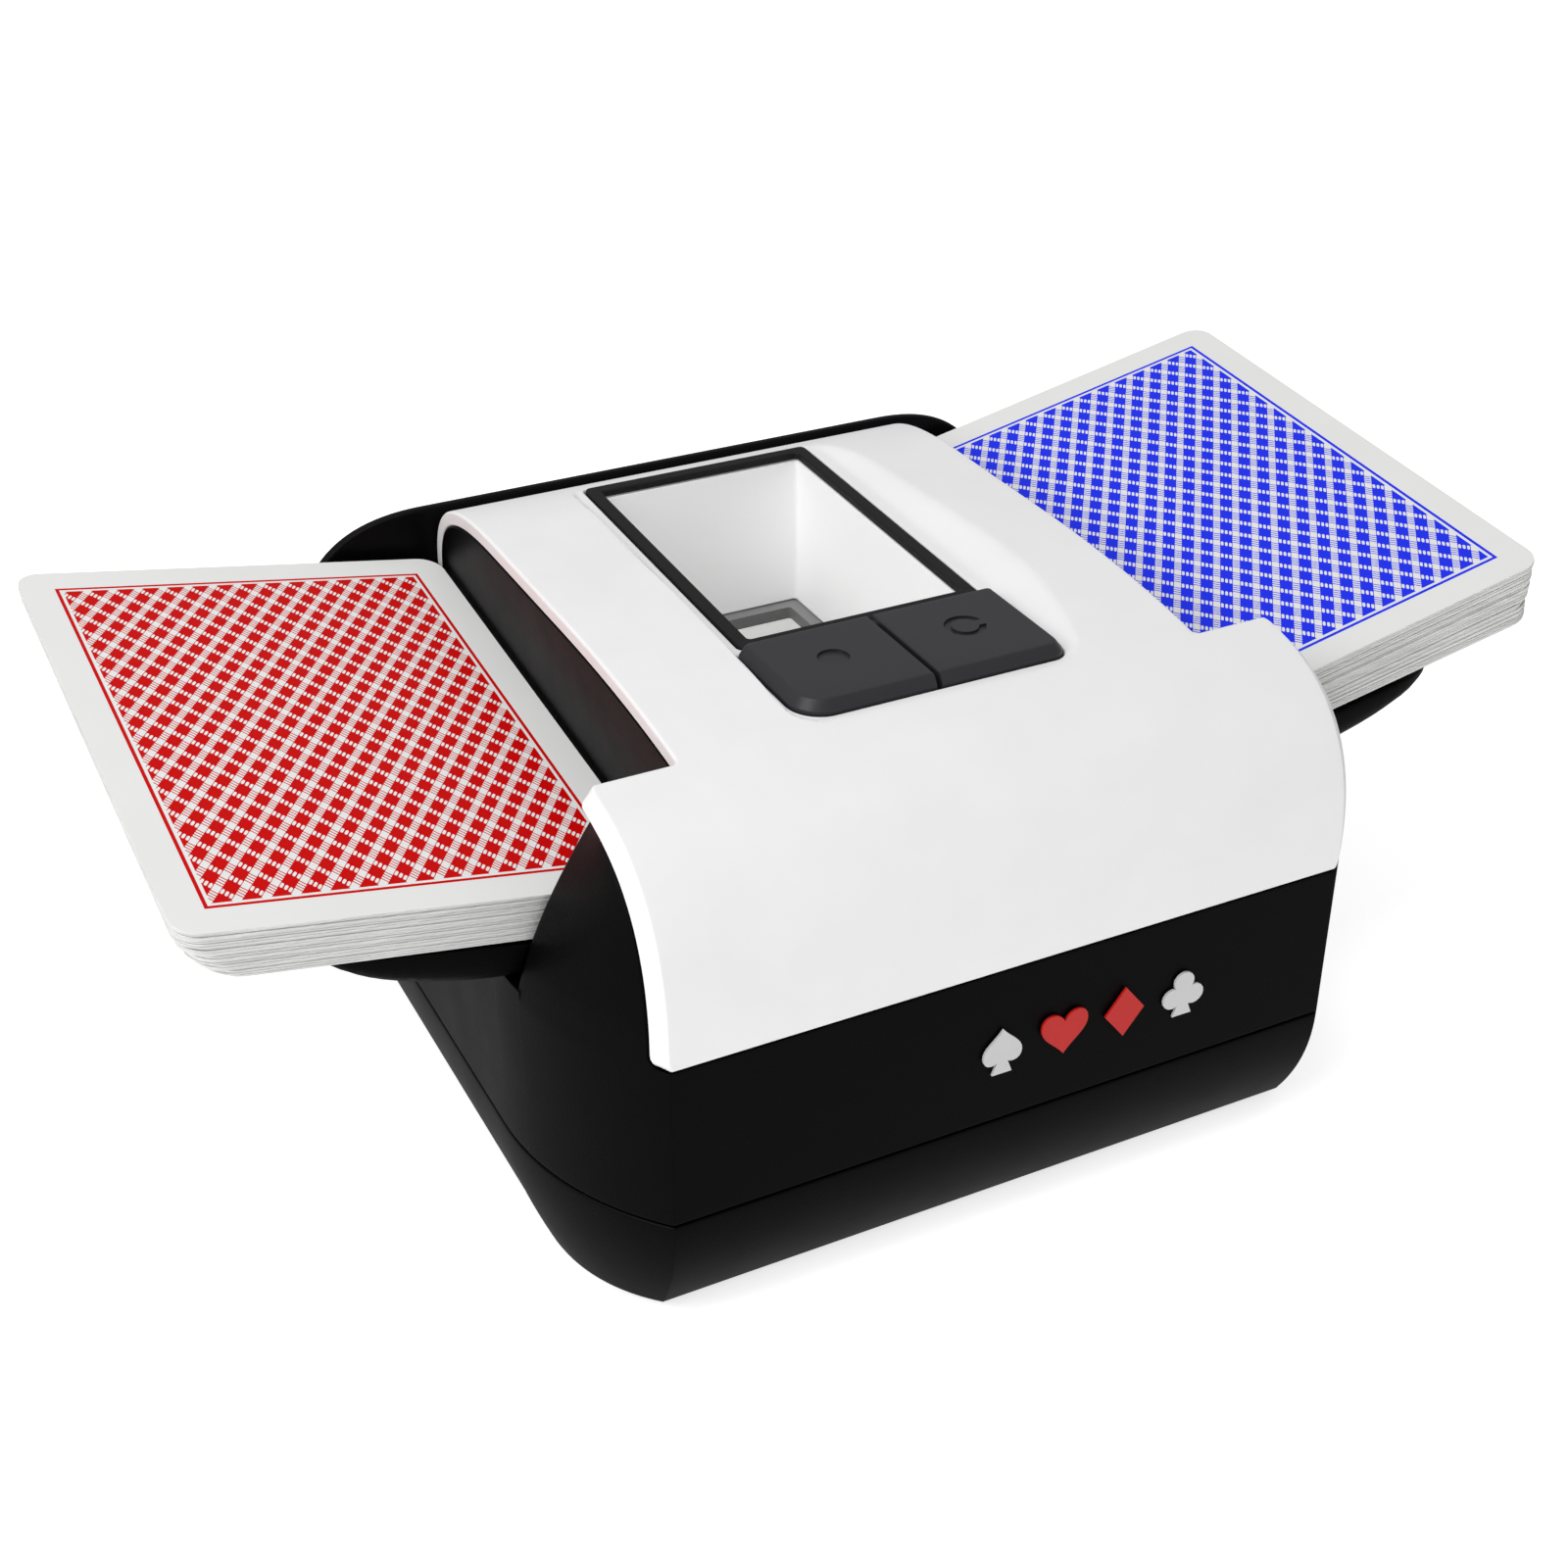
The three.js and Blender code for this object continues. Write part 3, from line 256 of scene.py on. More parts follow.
def offset(points, distance):
    """A closed outline, counter-clockwise, moved inward by a distance."""
    if distance == 0:
        return list(points)
    count = len(points)
    result = []
    for i in range(count):
        before = Vector(points[i]) - Vector(points[i - 1])
        after = Vector(points[(i + 1) % count]) - Vector(points[i])
        first = Vector((-before.y, before.x)).normalized()
        second = Vector((-after.y, after.x)).normalized()
        middle = (first + second).normalized()
        reach = distance / max(middle.dot(second), 0.5)
        result.append((points[i][0] + middle.x * reach, points[i][1] + middle.y * reach))
    return result


def rim(radius, count=4):
    """Rings of a rounded upper edge, as (inset, drop) pairs from the flat top to the full side."""
    rings = []
    for a in steps(0, math.pi / 2, count):
        rings.append((radius * (1 - math.sin(a)), radius * (1 - math.cos(a))))
    return rings


# ---------------------------------------------------------------- the cover's side view
# In y and z: where the upright front starts to curve, where the seat parts from the cover, where the
# cover's flat top starts and ends, and where both sheets turn down inside the rear wall.
CURVE_START = (0, 46)
PARTED = (18, 70.8)
FLAT_TOP = {"start": 60, "end": 86, "z": 74.2}
SEAT_FLOOR = {"start": 30, "rise": 46, "end": 99}
REAR_END = 60


def front_curve(count):
    """Up the front of the cover to the point where the seat parts from it."""
    points = [(0, z) for z in steps(COVER_BOTTOM, CURVE_START[1], 4)]
    return points + bezier(CURVE_START, (0, 59.5), (5.5, 68.3), PARTED, count)[1:]


def cover_side(count=40):
    """Up the front, over the flat top and down inside the rear wall."""
    end = BAY_REAR - GAP
    first, last, top = FLAT_TOP["start"], FLAT_TOP["end"], FLAT_TOP["z"]
    points = front_curve(count)
    points += bezier(PARTED, (28, 72.8), (42, top), (first, top), count)[1:]
    points += [(y, top) for y in steps(first, last, 8)][1:]
    points += bezier((last, top), (101, top), (end, 71.5), (end, REAR_END), count)[1:]
    return points


def seat_side(count=40):
    """The seat's floor, climbing gently toward the rear."""
    low, high = SEAT["low"], SEAT["high"]
    first, rise, last = SEAT_FLOOR["start"], SEAT_FLOOR["rise"], SEAT_FLOOR["end"]
    end = BAY_REAR - 2 * GAP
    points = front_curve(count)
    points += bezier(PARTED, (21, 71.4), (24, low), (first, low), count // 2)[1:]
    points += [(y, low) for y in steps(first, rise, 4)][1:]
    points += [(y, low + (y - rise) * (high - low) / (last - rise)) for y in steps(rise, last, 12)][1:]
    points += bezier((last, high), (104, high), (end, 69), (end, REAR_END), count // 2)[1:]
    return points


class SideView:
    """A side view, in y and z, that flat sheets are bent onto."""

    def __init__(self, points):
        self.points = points
        self.runs = [0.0]
        for before, after in zip(points, points[1:]):
            self.runs.append(self.runs[-1] + math.dist(before, after))
        self.tangents = [self.tangent(i) for i in range(len(points))]

    def tangent(self, i):
        low = Vector(self.points[max(i - 1, 0)])
        high = Vector(self.points[min(i + 1, len(self.points) - 1)])
        return (high - low).normalized()

    def run_at(self, y):
        """How far along the side view it reaches a given y."""
        for i in range(1, len(self.points)):
            low, high = self.points[i - 1][0], self.points[i][0]
            if high >= y and high > low:
                return self.runs[i - 1] + (y - low) / (high - low) * (self.runs[i] - self.runs[i - 1])
        return self.runs[-1]

    def height_at(self, y):
        """The height of the surface at a given y."""
        for low, high in zip(self.points, self.points[1:]):
            if high[0] >= y and high[0] > low[0]:
                return low[1] + (y - low[0]) / (high[0] - low[0]) * (high[1] - low[1])
        return self.points[-1][1]

    def front_at(self, z):
        """Where the rounded front is at a given height."""
        for low, high in zip(self.points, self.points[1:]):
            if high[1] >= z:
                return low[0] + max((z - low[1]) / (high[1] - low[1]), 0) * (high[0] - low[0])
        return self.points[-1][0]

    def bent(self, x, s, h):
        """A place on the flat sheet, s along and h above, laid onto the side view."""
        i = 1
        while i < len(self.runs) - 1 and self.runs[i] < s:
            i += 1
        part = (s - self.runs[i - 1]) / (self.runs[i] - self.runs[i - 1])
        point = Vector(self.points[i - 1]).lerp(Vector(self.points[i]), part)
        along = self.tangents[i - 1].lerp(self.tangents[i], min(max(part, 0), 1)).normalized()
        return Vector((x, point.x - along.y * h, point.y + along.x * h))

    def cuts(self, start, end):
        return [s for s in self.runs if start < s < end]

    def below(self, distance, bottom, y0=-2, y1=DEPTH + 2):
        """The side view moved inward by a distance, closed down to a level, as an outline."""
        points = []
        for (y, z), along in zip(self.points, self.tangents):
            points.append((y + along.y * distance, z - along.x * distance))
        kept = [point for point in points if y0 <= point[0] <= y1]
        return [(kept[0][0], bottom), *kept, (kept[-1][0], bottom)]


TOP_VIEW = SideView(cover_side())
SEAT_VIEW = SideView(seat_side())


def seat_distance(x, y):
    """How far a place lies outside the seat's rounded outline, from above; negative inside it."""
    corner = SEAT["corner"]
    middle = (SEAT["front"] + SEAT["rear"]) / 2
    dx = abs(x) - SEAT["half"] + corner
    dy = abs(y - middle) - (SEAT["rear"] - SEAT["front"]) / 2 + corner
    return math.hypot(max(dx, 0), max(dy, 0)) + min(max(dx, dy), 0) - corner


def seat_drop(x, y):
    """How far the seat lowers the cover's skin at a place. Its left side is steep and its right side
    is a broad, soft slope."""
    depth = TOP_VIEW.height_at(y) - SEAT_VIEW.height_at(y)
    right = min(max((x + 12) / 24, 0), 1)
    width = 0.5 + 0.3 * depth + right * 2.2 * depth
    part = min(max(seat_distance(x, y) / width, 0), 1)
    return max(depth, 0) * (1 - part * part * (3 - 2 * part))


def across(outline, x0, x1):
    """An outline in y and z run across from x0 to x1."""
    return loft([[(x, y, z) for y, z in outline] for x in (x0, x1)])


# ---------------------------------------------------------------- the body's plan
def plan_quarter(corner, side, side_angle, count):
    """The round front quarter from the front corner to the side, stretched to fit both ends."""
    def on_arc(angle):
        return Vector((
            CORNER_CENTRE[0] + CORNER_RADIUS * math.cos(angle),
            CORNER_CENTRE[1] + CORNER_RADIUS * math.sin(angle),
        ))

    start_angle = -math.pi / 4
    start, end = on_arc(start_angle), on_arc(side_angle)
    points = []
    for part in steps(0, 1, count):
        base = on_arc(start_angle + part * (side_angle - start_angle))
        shift = (1 - part) * (Vector(corner) - start) + part * (Vector(side) - end)
        points.append(tuple(base + shift))
    return points


def mirrored(right):
    """Closes the right half of an outline with its mirror image."""
    return right + [(-x, y) for x, y in reversed(right)]


def plan(front, side, rear):
    """The body from above, drawn in by an amount at its front, its sides and its rear."""
    corner = (FRONT_HALF - side * 0.1, front)
    end = (BODY_HALF - side, CORNER_CENTRE[1])
    back = DEPTH - rear
    x = BODY_HALF - side - REAR_RADIUS
    right = plan_quarter(corner, end, 0, 32) + arc(x, back - REAR_RADIUS, REAR_RADIUS, REAR_RADIUS, 0, 90, 10)
    return mirrored(right)


def level(points, z):
    return [(x, y, z) for x, y in points]


def floor_at(x, y):
    """The height of a tray's upper face."""
    return TRAY_FLOOR + TILT * (abs(x) - DECK_INNER) + PITCH * (y - BAY_FRONT)


def leaned(bm):
    """Gives a mesh the trays' slope from front to rear."""
    return moved(bm, lambda x, y, z: Vector((x, y, z + PITCH * (y - BAY_FRONT))))


# ---------------------------------------------------------------- materials
def new_material(name):
    material = bpy.data.materials.new(name)
    material.use_nodes = True
    return material, Nodes(material.node_tree)


class Nodes:
    """Short names for the node types that the materials use."""

    def __init__(self, tree):
        self.tree = tree
        self.shader = tree.nodes["Principled BSDF"]

    def link(self, value, socket):
        if isinstance(value, bpy.types.NodeSocket):
            self.tree.links.new(value, socket)
        else:
            socket.default_value = value

    def set(self, **inputs):
        for name, value in inputs.items():
            self.link(value, self.shader.inputs[name.replace("_", " ")])

    def math(self, operation, a, b=0.0, c=0.0):
        node = self.tree.nodes.new("ShaderNodeMath")
        node.operation = operation
        for socket, value in zip(node.inputs, (a, b, c)):
            self.link(value, socket)
        return node.outputs[0]

    def mix(self, factor, a, b):
        node = self.tree.nodes.new("ShaderNodeMix")
        node.data_type = "RGBA"
        self.link(factor, node.inputs["Factor"])
        self.link(a, node.inputs[6])
        self.link(b, node.inputs[7])
        return node.outputs[2]

    def place(self):
        return self.tree.nodes.new("ShaderNodeTexCoord").outputs["Object"]

    def noise(self, size, detail=2.0, stretch=(1, 1, 1)):
        mapping = self.tree.nodes.new("ShaderNodeMapping")
        mapping.inputs["Scale"].default_value = [value / size for value in stretch]
        self.link(self.place(), mapping.inputs["Vector"])
        node = self.tree.nodes.new("ShaderNodeTexNoise")
        node.inputs["Scale"].default_value = 1.0
        node.inputs["Detail"].default_value = detail
        self.link(mapping.outputs[0], node.inputs["Vector"])
        return node.outputs["Fac"]

    def between(self, value, low, high):
        """A 0 to 1 value spread from low to high."""
        return self.math("MULTIPLY_ADD", value, high - low, low)

    def bump(self, height, depth, edge=0.0):
        """Bump over edges that catch light as if rounded by the given radius."""
        node = self.tree.nodes.new("ShaderNodeBump")
        node.inputs["Distance"].default_value = depth
        self.link(height, node.inputs["Height"])
        if edge > 0:
            bevel = self.tree.nodes.new("ShaderNodeBevel")
            bevel.samples = 4
            bevel.inputs["Radius"].default_value = edge
            self.link(bevel.outputs[0], node.inputs["Normal"])
        return node.outputs[0]


def colour(r, g, b):
    """An sRGB colour, 0 to 255, as the linear value that nodes take."""
    def linear(value):
        value /= 255
        return value / 12.92 if value <= 0.04045 else ((value + 0.055) / 1.055) ** 2.4

    return (linear(r), linear(g), linear(b), 1.0)


def plastic(name, tone, roughness, grain=0.25, depth=0.01, specular=0.5, spread=0.06, edge=0.0, painted_glow=0.0):
    """Moulded plastic: a fine spark-eroded grain, and gloss that varies a little over the surface.
    Any emission it is given is painted light in the plastic's own tone, though the part is no lamp."""
    material, nodes = new_material(name)
    grain_noise = nodes.noise(grain * MM, 3.0)
    broad_noise = nodes.noise(9 * MM, 2.0)
    dark = tuple(value * 0.94 for value in tone[:3]) + (1.0,)
    nodes.set(
        Base_Color=nodes.mix(broad_noise, dark, tone),
        Roughness=nodes.between(broad_noise, roughness - spread, roughness + spread),
        Specular_IOR_Level=specular,
        Normal=nodes.bump(grain_noise, depth * MM, edge * MM),
        Emission_Color=tone,
        Emission_Strength=painted_glow,
    )
    return material


def drawer_plastic():
    """Pale plastic. The faces that look up and forward emit a little light: painted light, for the
    light from the chute that pools inside the drawer."""
    material = plastic("drawer_white", colour(232, 232, 230), 0.45, depth=0.006, specular=0.3, edge=0.5)
    nodes = Nodes(material.node_tree)
    # Painted light: emission by world normal, strongest on faces looking forward, weaker on faces looking up.
    parts = nodes.tree.nodes.new("ShaderNodeSeparateXYZ")
    nodes.link(nodes.tree.nodes.new("ShaderNodeNewGeometry").outputs["Normal"], parts.inputs[0])
    up = nodes.math("MAXIMUM", parts.outputs[2], 0.0)
    forward = nodes.math("MAXIMUM", nodes.math("MULTIPLY", parts.outputs[1], -1.0), 0.0)
    nodes.set(Emission_Strength=nodes.math("MULTIPLY_ADD", up, 0.12, nodes.math("MULTIPLY", forward, 0.55)))
    return material


def metal(name, tone, roughness, stretch=(1, 14, 14)):
    """Turned or drawn metal, with fine streaks along X, Y or Z."""
    material, nodes = new_material(name)
    streaks = nodes.noise(2.2 * MM, 4.0, stretch)
    dark = tuple(value * 0.8 for value in tone[:3]) + (1.0,)
    nodes.set(
        Base_Color=nodes.mix(streaks, dark, tone),
        Metallic=1.0,
        Roughness=nodes.between(streaks, roughness - 0.08, roughness + 0.12),
        Normal=nodes.bump(streaks, 0.01 * MM),
    )
    return material


def rubber(name, tone):
    material, nodes = new_material(name)
    grain = nodes.noise(0.4 * MM, 4.0)
    dust = nodes.noise(6 * MM, 3.0)
    light = tuple(min(value * 1.6 + 0.01, 1) for value in tone[:3]) + (1.0,)
    nodes.set(
        Base_Color=nodes.mix(nodes.between(dust, 0.0, 0.5), tone, light),
        Roughness=nodes.between(grain, 0.72, 0.9),
        Specular_IOR_Level=0.25,
        Normal=nodes.bump(grain, 0.03 * MM),
    )
    return material


def card_stack(name):
    """The cut edges of the cards: thin lines from card to card over pale stock."""
    material, nodes = new_material(name)
    lines = nodes.noise(0.3 * MM, 1.0, (0.04, 0.04, 1.2))
    fleck = nodes.noise(0.5 * MM, 3.0)
    shade = nodes.math("MULTIPLY", lines, nodes.between(fleck, 0.7, 1.2))
    pale = nodes.math("SMOOTH_MIN", shade, 1.0, 0.1)
    nodes.set(
        Base_Color=nodes.mix(pale, colour(196, 196, 194), colour(236, 236, 235)),
        Roughness=0.6,
        Specular_IOR_Level=0.3,
        Normal=nodes.bump(lines, 0.03 * MM),
    )
    return material


# The frame's margin, its line and the gap inside it, in millimetres; the repeats across and along the
# card; and the widths of the lined and dotted bands, as parts of one repeat.
PATTERN = {
    "margin": 4.7, "line": 0.5, "gap": 0.45, "across": 15, "along": 15.5, "lined": 0.36, "dotted": 0.34,
}


def card_back(name, ink):
    """A framed diagonal check in one ink: white bands crossed by thin lines one way, rows of three
    short dashes the other way, and plain white where the two cross. The UV map holds millimetres
    from the card's middle."""
    material, nodes = new_material(name)
    uv = nodes.tree.nodes.new("ShaderNodeUVMap")
    parts = nodes.tree.nodes.new("ShaderNodeSeparateXYZ")
    nodes.link(uv.outputs[0], parts.inputs[0])
    x, y = parts.outputs[0], parts.outputs[1]
    half_x = CARD[0] / 2 - PATTERN["margin"]
    half_y = CARD[1] / 2 - PATTERN["margin"]

    def inside(inset):
        """1 inside the frame moved inward by an inset."""
        from_x = nodes.math("SUBTRACT", half_x - inset, nodes.math("ABSOLUTE", x))
        from_y = nodes.math("SUBTRACT", half_y - inset, nodes.math("ABSOLUTE", y))
        return nodes.math("GREATER_THAN", nodes.math("MINIMUM", from_x, from_y), 0.0)

    def flip(value):
        return nodes.math("SUBTRACT", 1.0, value)

    def both(a, b):
        return nodes.math("MULTIPLY", a, b)

    def repeat(value, width):
        """1 in the band at the start of each repeat, then the 0 to 1 places in the rest and in the
        band."""
        part = nodes.math("FRACT", nodes.math("ADD", value, 100.0))
        rest = nodes.math("DIVIDE", nodes.math("SUBTRACT", part, width), 1 - width)
        return nodes.math("LESS_THAN", part, width), rest, nodes.math("DIVIDE", part, width)

    def from_middle(value, count, half_width):
        """How far from the middle of each of several marks, in half widths."""
        place = nodes.math("SUBTRACT", nodes.math("FRACT", nodes.math("MULTIPLY", value, count)), 0.5)
        return nodes.math("DIVIDE", nodes.math("ABSOLUTE", place), half_width)

    column = nodes.math("MULTIPLY", x, PATTERN["across"] / (2 * half_x))
    row = nodes.math("MULTIPLY", y, PATTERN["along"] / (2 * half_y))
    lined, lined_rest, _ = repeat(nodes.math("SUBTRACT", column, row), PATTERN["lined"])
    dotted, dotted_rest, dotted_place = repeat(nodes.math("ADD", column, row), PATTERN["dotted"])
    thin_lines = nodes.math("LESS_THAN", from_middle(dotted_rest, 4, 0.18), 1.0)
    along_dash = nodes.math("POWER", from_middle(lined_rest, 3, 0.33), 3.0)
    across_dash = nodes.math("POWER", from_middle(dotted_place, 1, 0.46), 4.0)
    dashes = nodes.math("LESS_THAN", nodes.math("ADD", along_dash, across_dash), 1.0)
    full = both(flip(lined), flip(dotted))
    ruled = both(both(lined, flip(dotted)), thin_lines)
    dashed = both(both(dotted, flip(lined)), flip(dashes))
    check = nodes.math("ADD", full, nodes.math("ADD", ruled, dashed))
    field = both(check, inside(PATTERN["line"] + PATTERN["gap"]))
    frame_line = both(inside(0.0), flip(inside(PATTERN["line"])))
    printed = nodes.math("ADD", field, frame_line)
    stock = nodes.mix(nodes.noise(14 * MM), colour(228, 228, 227), colour(234, 234, 233))
    linen = nodes.noise(0.5 * MM, 2.0)
    nodes.set(
        Base_Color=nodes.mix(printed, stock, ink),
        Roughness=nodes.between(linen, 0.4, 0.55),
        Specular_IOR_Level=0.08,
        Normal=nodes.bump(linen, 0.006 * MM),
    )
    return material


SHELL = plastic("shell_black", colour(4, 4, 5), 0.42, grain=0.35, depth=0.03, specular=0.09, edge=0.35)
COVER = plastic("cover_white", colour(240, 240, 240), 0.36, depth=0.003, specular=0.4, spread=0.04)
GASKET = plastic("gasket_black", colour(25, 25, 26), 0.6, depth=0.012, specular=0.2)
# The liner's emission is painted light: it stands in for the light that bounces round inside the white chute.
CHUTE = plastic("chute_white", colour(246, 246, 246), 0.45, depth=0.004, specular=0.3, edge=0.3, painted_glow=0.15)
DRAWER = drawer_plastic()
# A real ring under the liner; its mid-grey tone is painted shade for the shadow on its inner face.
RIM = plastic("rim_grey", colour(128, 128, 128), 0.6, specular=0.3)
CHARCOAL = plastic("button_charcoal", colour(42, 42, 46), 0.42, grain=0.3, depth=0.01, specular=0.4)
FOOT = rubber("foot_rubber", colour(34, 34, 34))
TYRE = rubber("roller_rubber", colour(48, 48, 48))
NYLON = plastic("nylon", colour(222, 219, 208), 0.5, specular=0.4)
STEEL = metal("steel", (0.62, 0.63, 0.65, 1.0), 0.3)
BRASS = metal("brass", (0.69, 0.5, 0.26, 1.0), 0.32)
BOARD = plastic("board_green", colour(22, 84, 52), 0.35, depth=0.006)
CELL = plastic("cell_wrap", colour(62, 104, 160), 0.25, grain=1.5, depth=0.02)
BADGE_LIGHT = plastic("badge_light", colour(205, 205, 205), 0.3, depth=0.0)
BADGE_RED = plastic("badge_red", colour(196, 26, 20), 0.3, depth=0.0)
STACK = card_stack("card_edges")
RED_BACK = card_back("red_back", colour(200, 0, 0))
BLUE_BACK = card_back("blue_back", colour(32, 50, 236))


# ---------------------------------------------------------------- cover
def cover_rings():
    """Rings of the cover's outline: a chamfer beside the head, and a small fillet elsewhere."""
    drops = [drop for _, drop in rim(FILLET)]
    drops += [CHAMFER * 0.6, CHAMFER, COVER_THICKNESS - COVER_BREAK, COVER_THICKNESS]
    insets = [inset for inset, _ in rim(FILLET)] + [0, 0, 0, COVER_BREAK]
    step = TOP_VIEW.run_at(HEAD_DEPTH)
    end = TOP_VIEW.runs[-1]
    rings = []
    for drop, inset in zip(drops, insets):
        chamfer = max(CHAMFER - drop, 0) + (COVER_BREAK if drop == 0 else 0)
        wide = COVER_HALF_FRONT - max(chamfer, inset)
        narrow = COVER_HALF_TOP - inset
        corner_x = COVER_CORNER - max(chamfer, inset) * 0.9
        corner_y = COVER_CORNER - inset
        inner = STEP_FILLET + inset
        right = arc(wide - corner_x, COVER_CORNER, corner_x, corner_y, -90, 0, 6)
        right += arc(wide - corner_x, step - COVER_CORNER, corner_x, corner_y, 0, 90, 6)
        right += arc(narrow + inner, step + STEP_FILLET, inner, inner, -90, -180, 5)
        right += [(narrow, end - inset)]
        rings.append(mirrored(right))
    return rings, [-drop for drop in drops]


def button_outline(side, view, margin=0.0, small=0.0):
    """One button seen from above on the flat sheet, counter-clockwise: its outer end and front
    edge grown by a margin, its split and rear edges drawn in by a small amount."""
    inner = BUTTON["split"] + small
    outer = BUTTON["half"] + margin
    front = view.run_at(BUTTON["front"]) - margin
    rear = view.run_at(BUTTON["rear"]) - small
    radius = BUTTON_CORNER[side] + margin
    corner = arc(outer - radius, front + radius, radius, radius, -90, 0, 12)
    far = arc(outer - 0.5, rear - 0.5, 0.5, 0.5, 0, 90, 4)
    points = [(inner, front), *corner, *far, (inner, rear)]
    return points if side > 0 else [(-x, y) for x, y in reversed(points)]


def buttons_outline():
    """The hole for both buttons."""
    right = button_outline(1, TOP_VIEW, GAP, -GAP)[1:-1]
    left = button_outline(-1, TOP_VIEW, GAP, -GAP)[1:-1]
    return right + left


def window_outline(view, inset, radius):
    half = WINDOW["half"] - inset
    front = view.run_at(WINDOW["front"]) + inset
    rear = view.run_at(WINDOW["rear"]) - inset
    return rounded(-half, half, front, rear, radius)


def hole_rings(outline, heights, radius=0.3):
    """Rings of a hole whose upper edge is rounded."""
    rings = []
    for height in heights:
        part = max(radius + height, 0)
        grow = radius - math.sqrt(radius**2 - part**2) if part > 0 else 0
        rings.append(offset(outline, -grow))
    return rings


def make_cover():
    """A flat sheet with two holes, bent onto the cover's side view and sunk at the seat."""
    outline, heights = cover_rings()
    window = hole_rings(window_outline(TOP_VIEW, -GAP, WINDOW_CORNER["cover"]), heights)
    keys = hole_rings(buttons_outline(), heights)
    ramp = steps(18, 29, 28)
    cuts_x = steps(-50, -24, 13) + steps(-23, -18, 20) + steps(-16, 16, 8) + ramp + steps(31, 49, 9)
    bm = plate([outline, window, keys], heights, cuts_x, TOP_VIEW.cuts(0, TOP_VIEW.runs[-1]))
    moved(bm, TOP_VIEW.bent)
    moved(bm, lambda x, y, z: Vector((x, y, z - seat_drop(x, y))))
    piece(bm, "cover", COVER, "body", ["top_cover"])


def make_gasket():
    """A flat frame with rounded upper edges, laid onto the seat."""
    edge = rim(0.3)
    heights = [GASKET_PROUD - drop for _, drop in edge] + [-GASKET_DEPTH]
    insets = [inset for inset, _ in edge] + [0]
    outer = window_outline(SEAT_VIEW, 0, WINDOW_CORNER["gasket"])
    inner = window_outline(SEAT_VIEW, GASKET_BAND, WINDOW_CORNER["inner"])
    walls = [[offset(outer, inset) for inset in insets], [offset(inner, -inset) for inset in insets]]
    cuts = SEAT_VIEW.cuts(SEAT_VIEW.run_at(WINDOW["front"]), SEAT_VIEW.run_at(WINDOW["rear"]))
    bm = moved(plate(walls, heights, (), cuts), SEAT_VIEW.bent)
    piece(bm, "gasket", GASKET, "body", ["window_gasket"])


def bent_plug(outline, low, high):
    """A cutter with straight sides, standing square on the seat's side view."""
    ys = [y for _, y in outline]
    flat = plate([[outline, outline]], [high, low], (), SEAT_VIEW.cuts(min(ys), max(ys)))
    return moved(flat, SEAT_VIEW.bent)


def make_button(name, side, cuts):
    """A low cap with a broad bevel along its outer end and its front."""
    proud = BUTTON["proud"]
    bevel = BUTTON["bevel"]
    rows = [(proud, bevel + 0.2), (proud - 0.05, bevel + 0.06), (proud - 0.2, bevel - 0.08), (0.4, 0.05)]
    rows += [(0.2, 0.0), (-4.4, 0.0)]
    small = [0.25, 0.1, 0.0, 0.0, 0.0, 0.0]
    rings = [button_outline(side, SEAT_VIEW, -inset, edge) for (_, inset), edge in zip(rows, small)]
    start, end = SEAT_VIEW.run_at(BUTTON["front"]), SEAT_VIEW.run_at(BUTTON["rear"])
    body = plate([rings], [height for height, _ in rows], steps(-20, 20, 20), SEAT_VIEW.cuts(start, end))
    piece(combine(moved(body, SEAT_VIEW.bent), *cuts), name, CHARCOAL, name, [name], 20)


# The marks sunk into the buttons: a dot on the left, and an open ring on the right.
ICON = {"x": 10, "y": 34.5, "depth": 0.35, "dot": 2.2, "ring": 2.9, "ring_inner": 1.9, "opening": 0.7}


def make_buttons():
    low = BUTTON["proud"] - ICON["depth"]
    high = 3
    x, y = ICON["x"], SEAT_VIEW.run_at(ICON["y"])

    def disc(middle, radius, count, bottom, top):
        return bent_plug(arc(middle, y, radius, radius, 0, 360, count)[:-1], bottom, top)

    make_button("manual_button", -1, [("DIFFERENCE", disc(-x, ICON["dot"], 40, low, high))])
    opening = rounded(x, x + 4, y - ICON["opening"], y + ICON["opening"], 0.1, 2)
    ring = combine(
        disc(x, ICON["ring"], 48, low, high),
        ("DIFFERENCE", disc(x, ICON["ring_inner"], 40, low - 1, high + 1)),
        ("DIFFERENCE", bent_plug(opening, low - 1, high + 1)),
    )
    make_button("auto_button", 1, [("DIFFERENCE", ring)])


# ---------------------------------------------------------------- base and casing
UNDERCUT = {"front": 6.0, "side": 4.6, "rear": 2.5}
CHEEK_HALF = 61.2
CHAMBER_HALF = 36.5
BAY_HALF = 59.3
SILL = 44.6
WALL = 2.5
BASE_FLOOR = 2.2
BASE_EDGE = 0.7
SCREW_PLACES = [(-51, 32), (51, 32), (-51, 100), (51, 100)]
FOOT_PLACES = [(-44, 14), (44, 14), (-44, 106), (44, 106)]
HOLLOW = {"half": 47, "skin": 4.4, "front": 4.5, "rear": 19.3}
RECESS_PLAY = 0.22
POST_RADIUS = 3.4
BOSS_TOP = 24
DOOR = {"half": 36.2, "bottom": BASE_FLOOR, "top": 40.0}
PORT = {"x": -48.5, "z": 30.0, "half": 4.5, "radius": 1.65}


def base_ring(z, inset):
    """The base's outline at a height: the undercut fades out toward the parting."""
    part = (1 - z / PARTING) ** 2
    return plan(*(UNDERCUT[face] * part + inset for face in ("front", "side", "rear")))


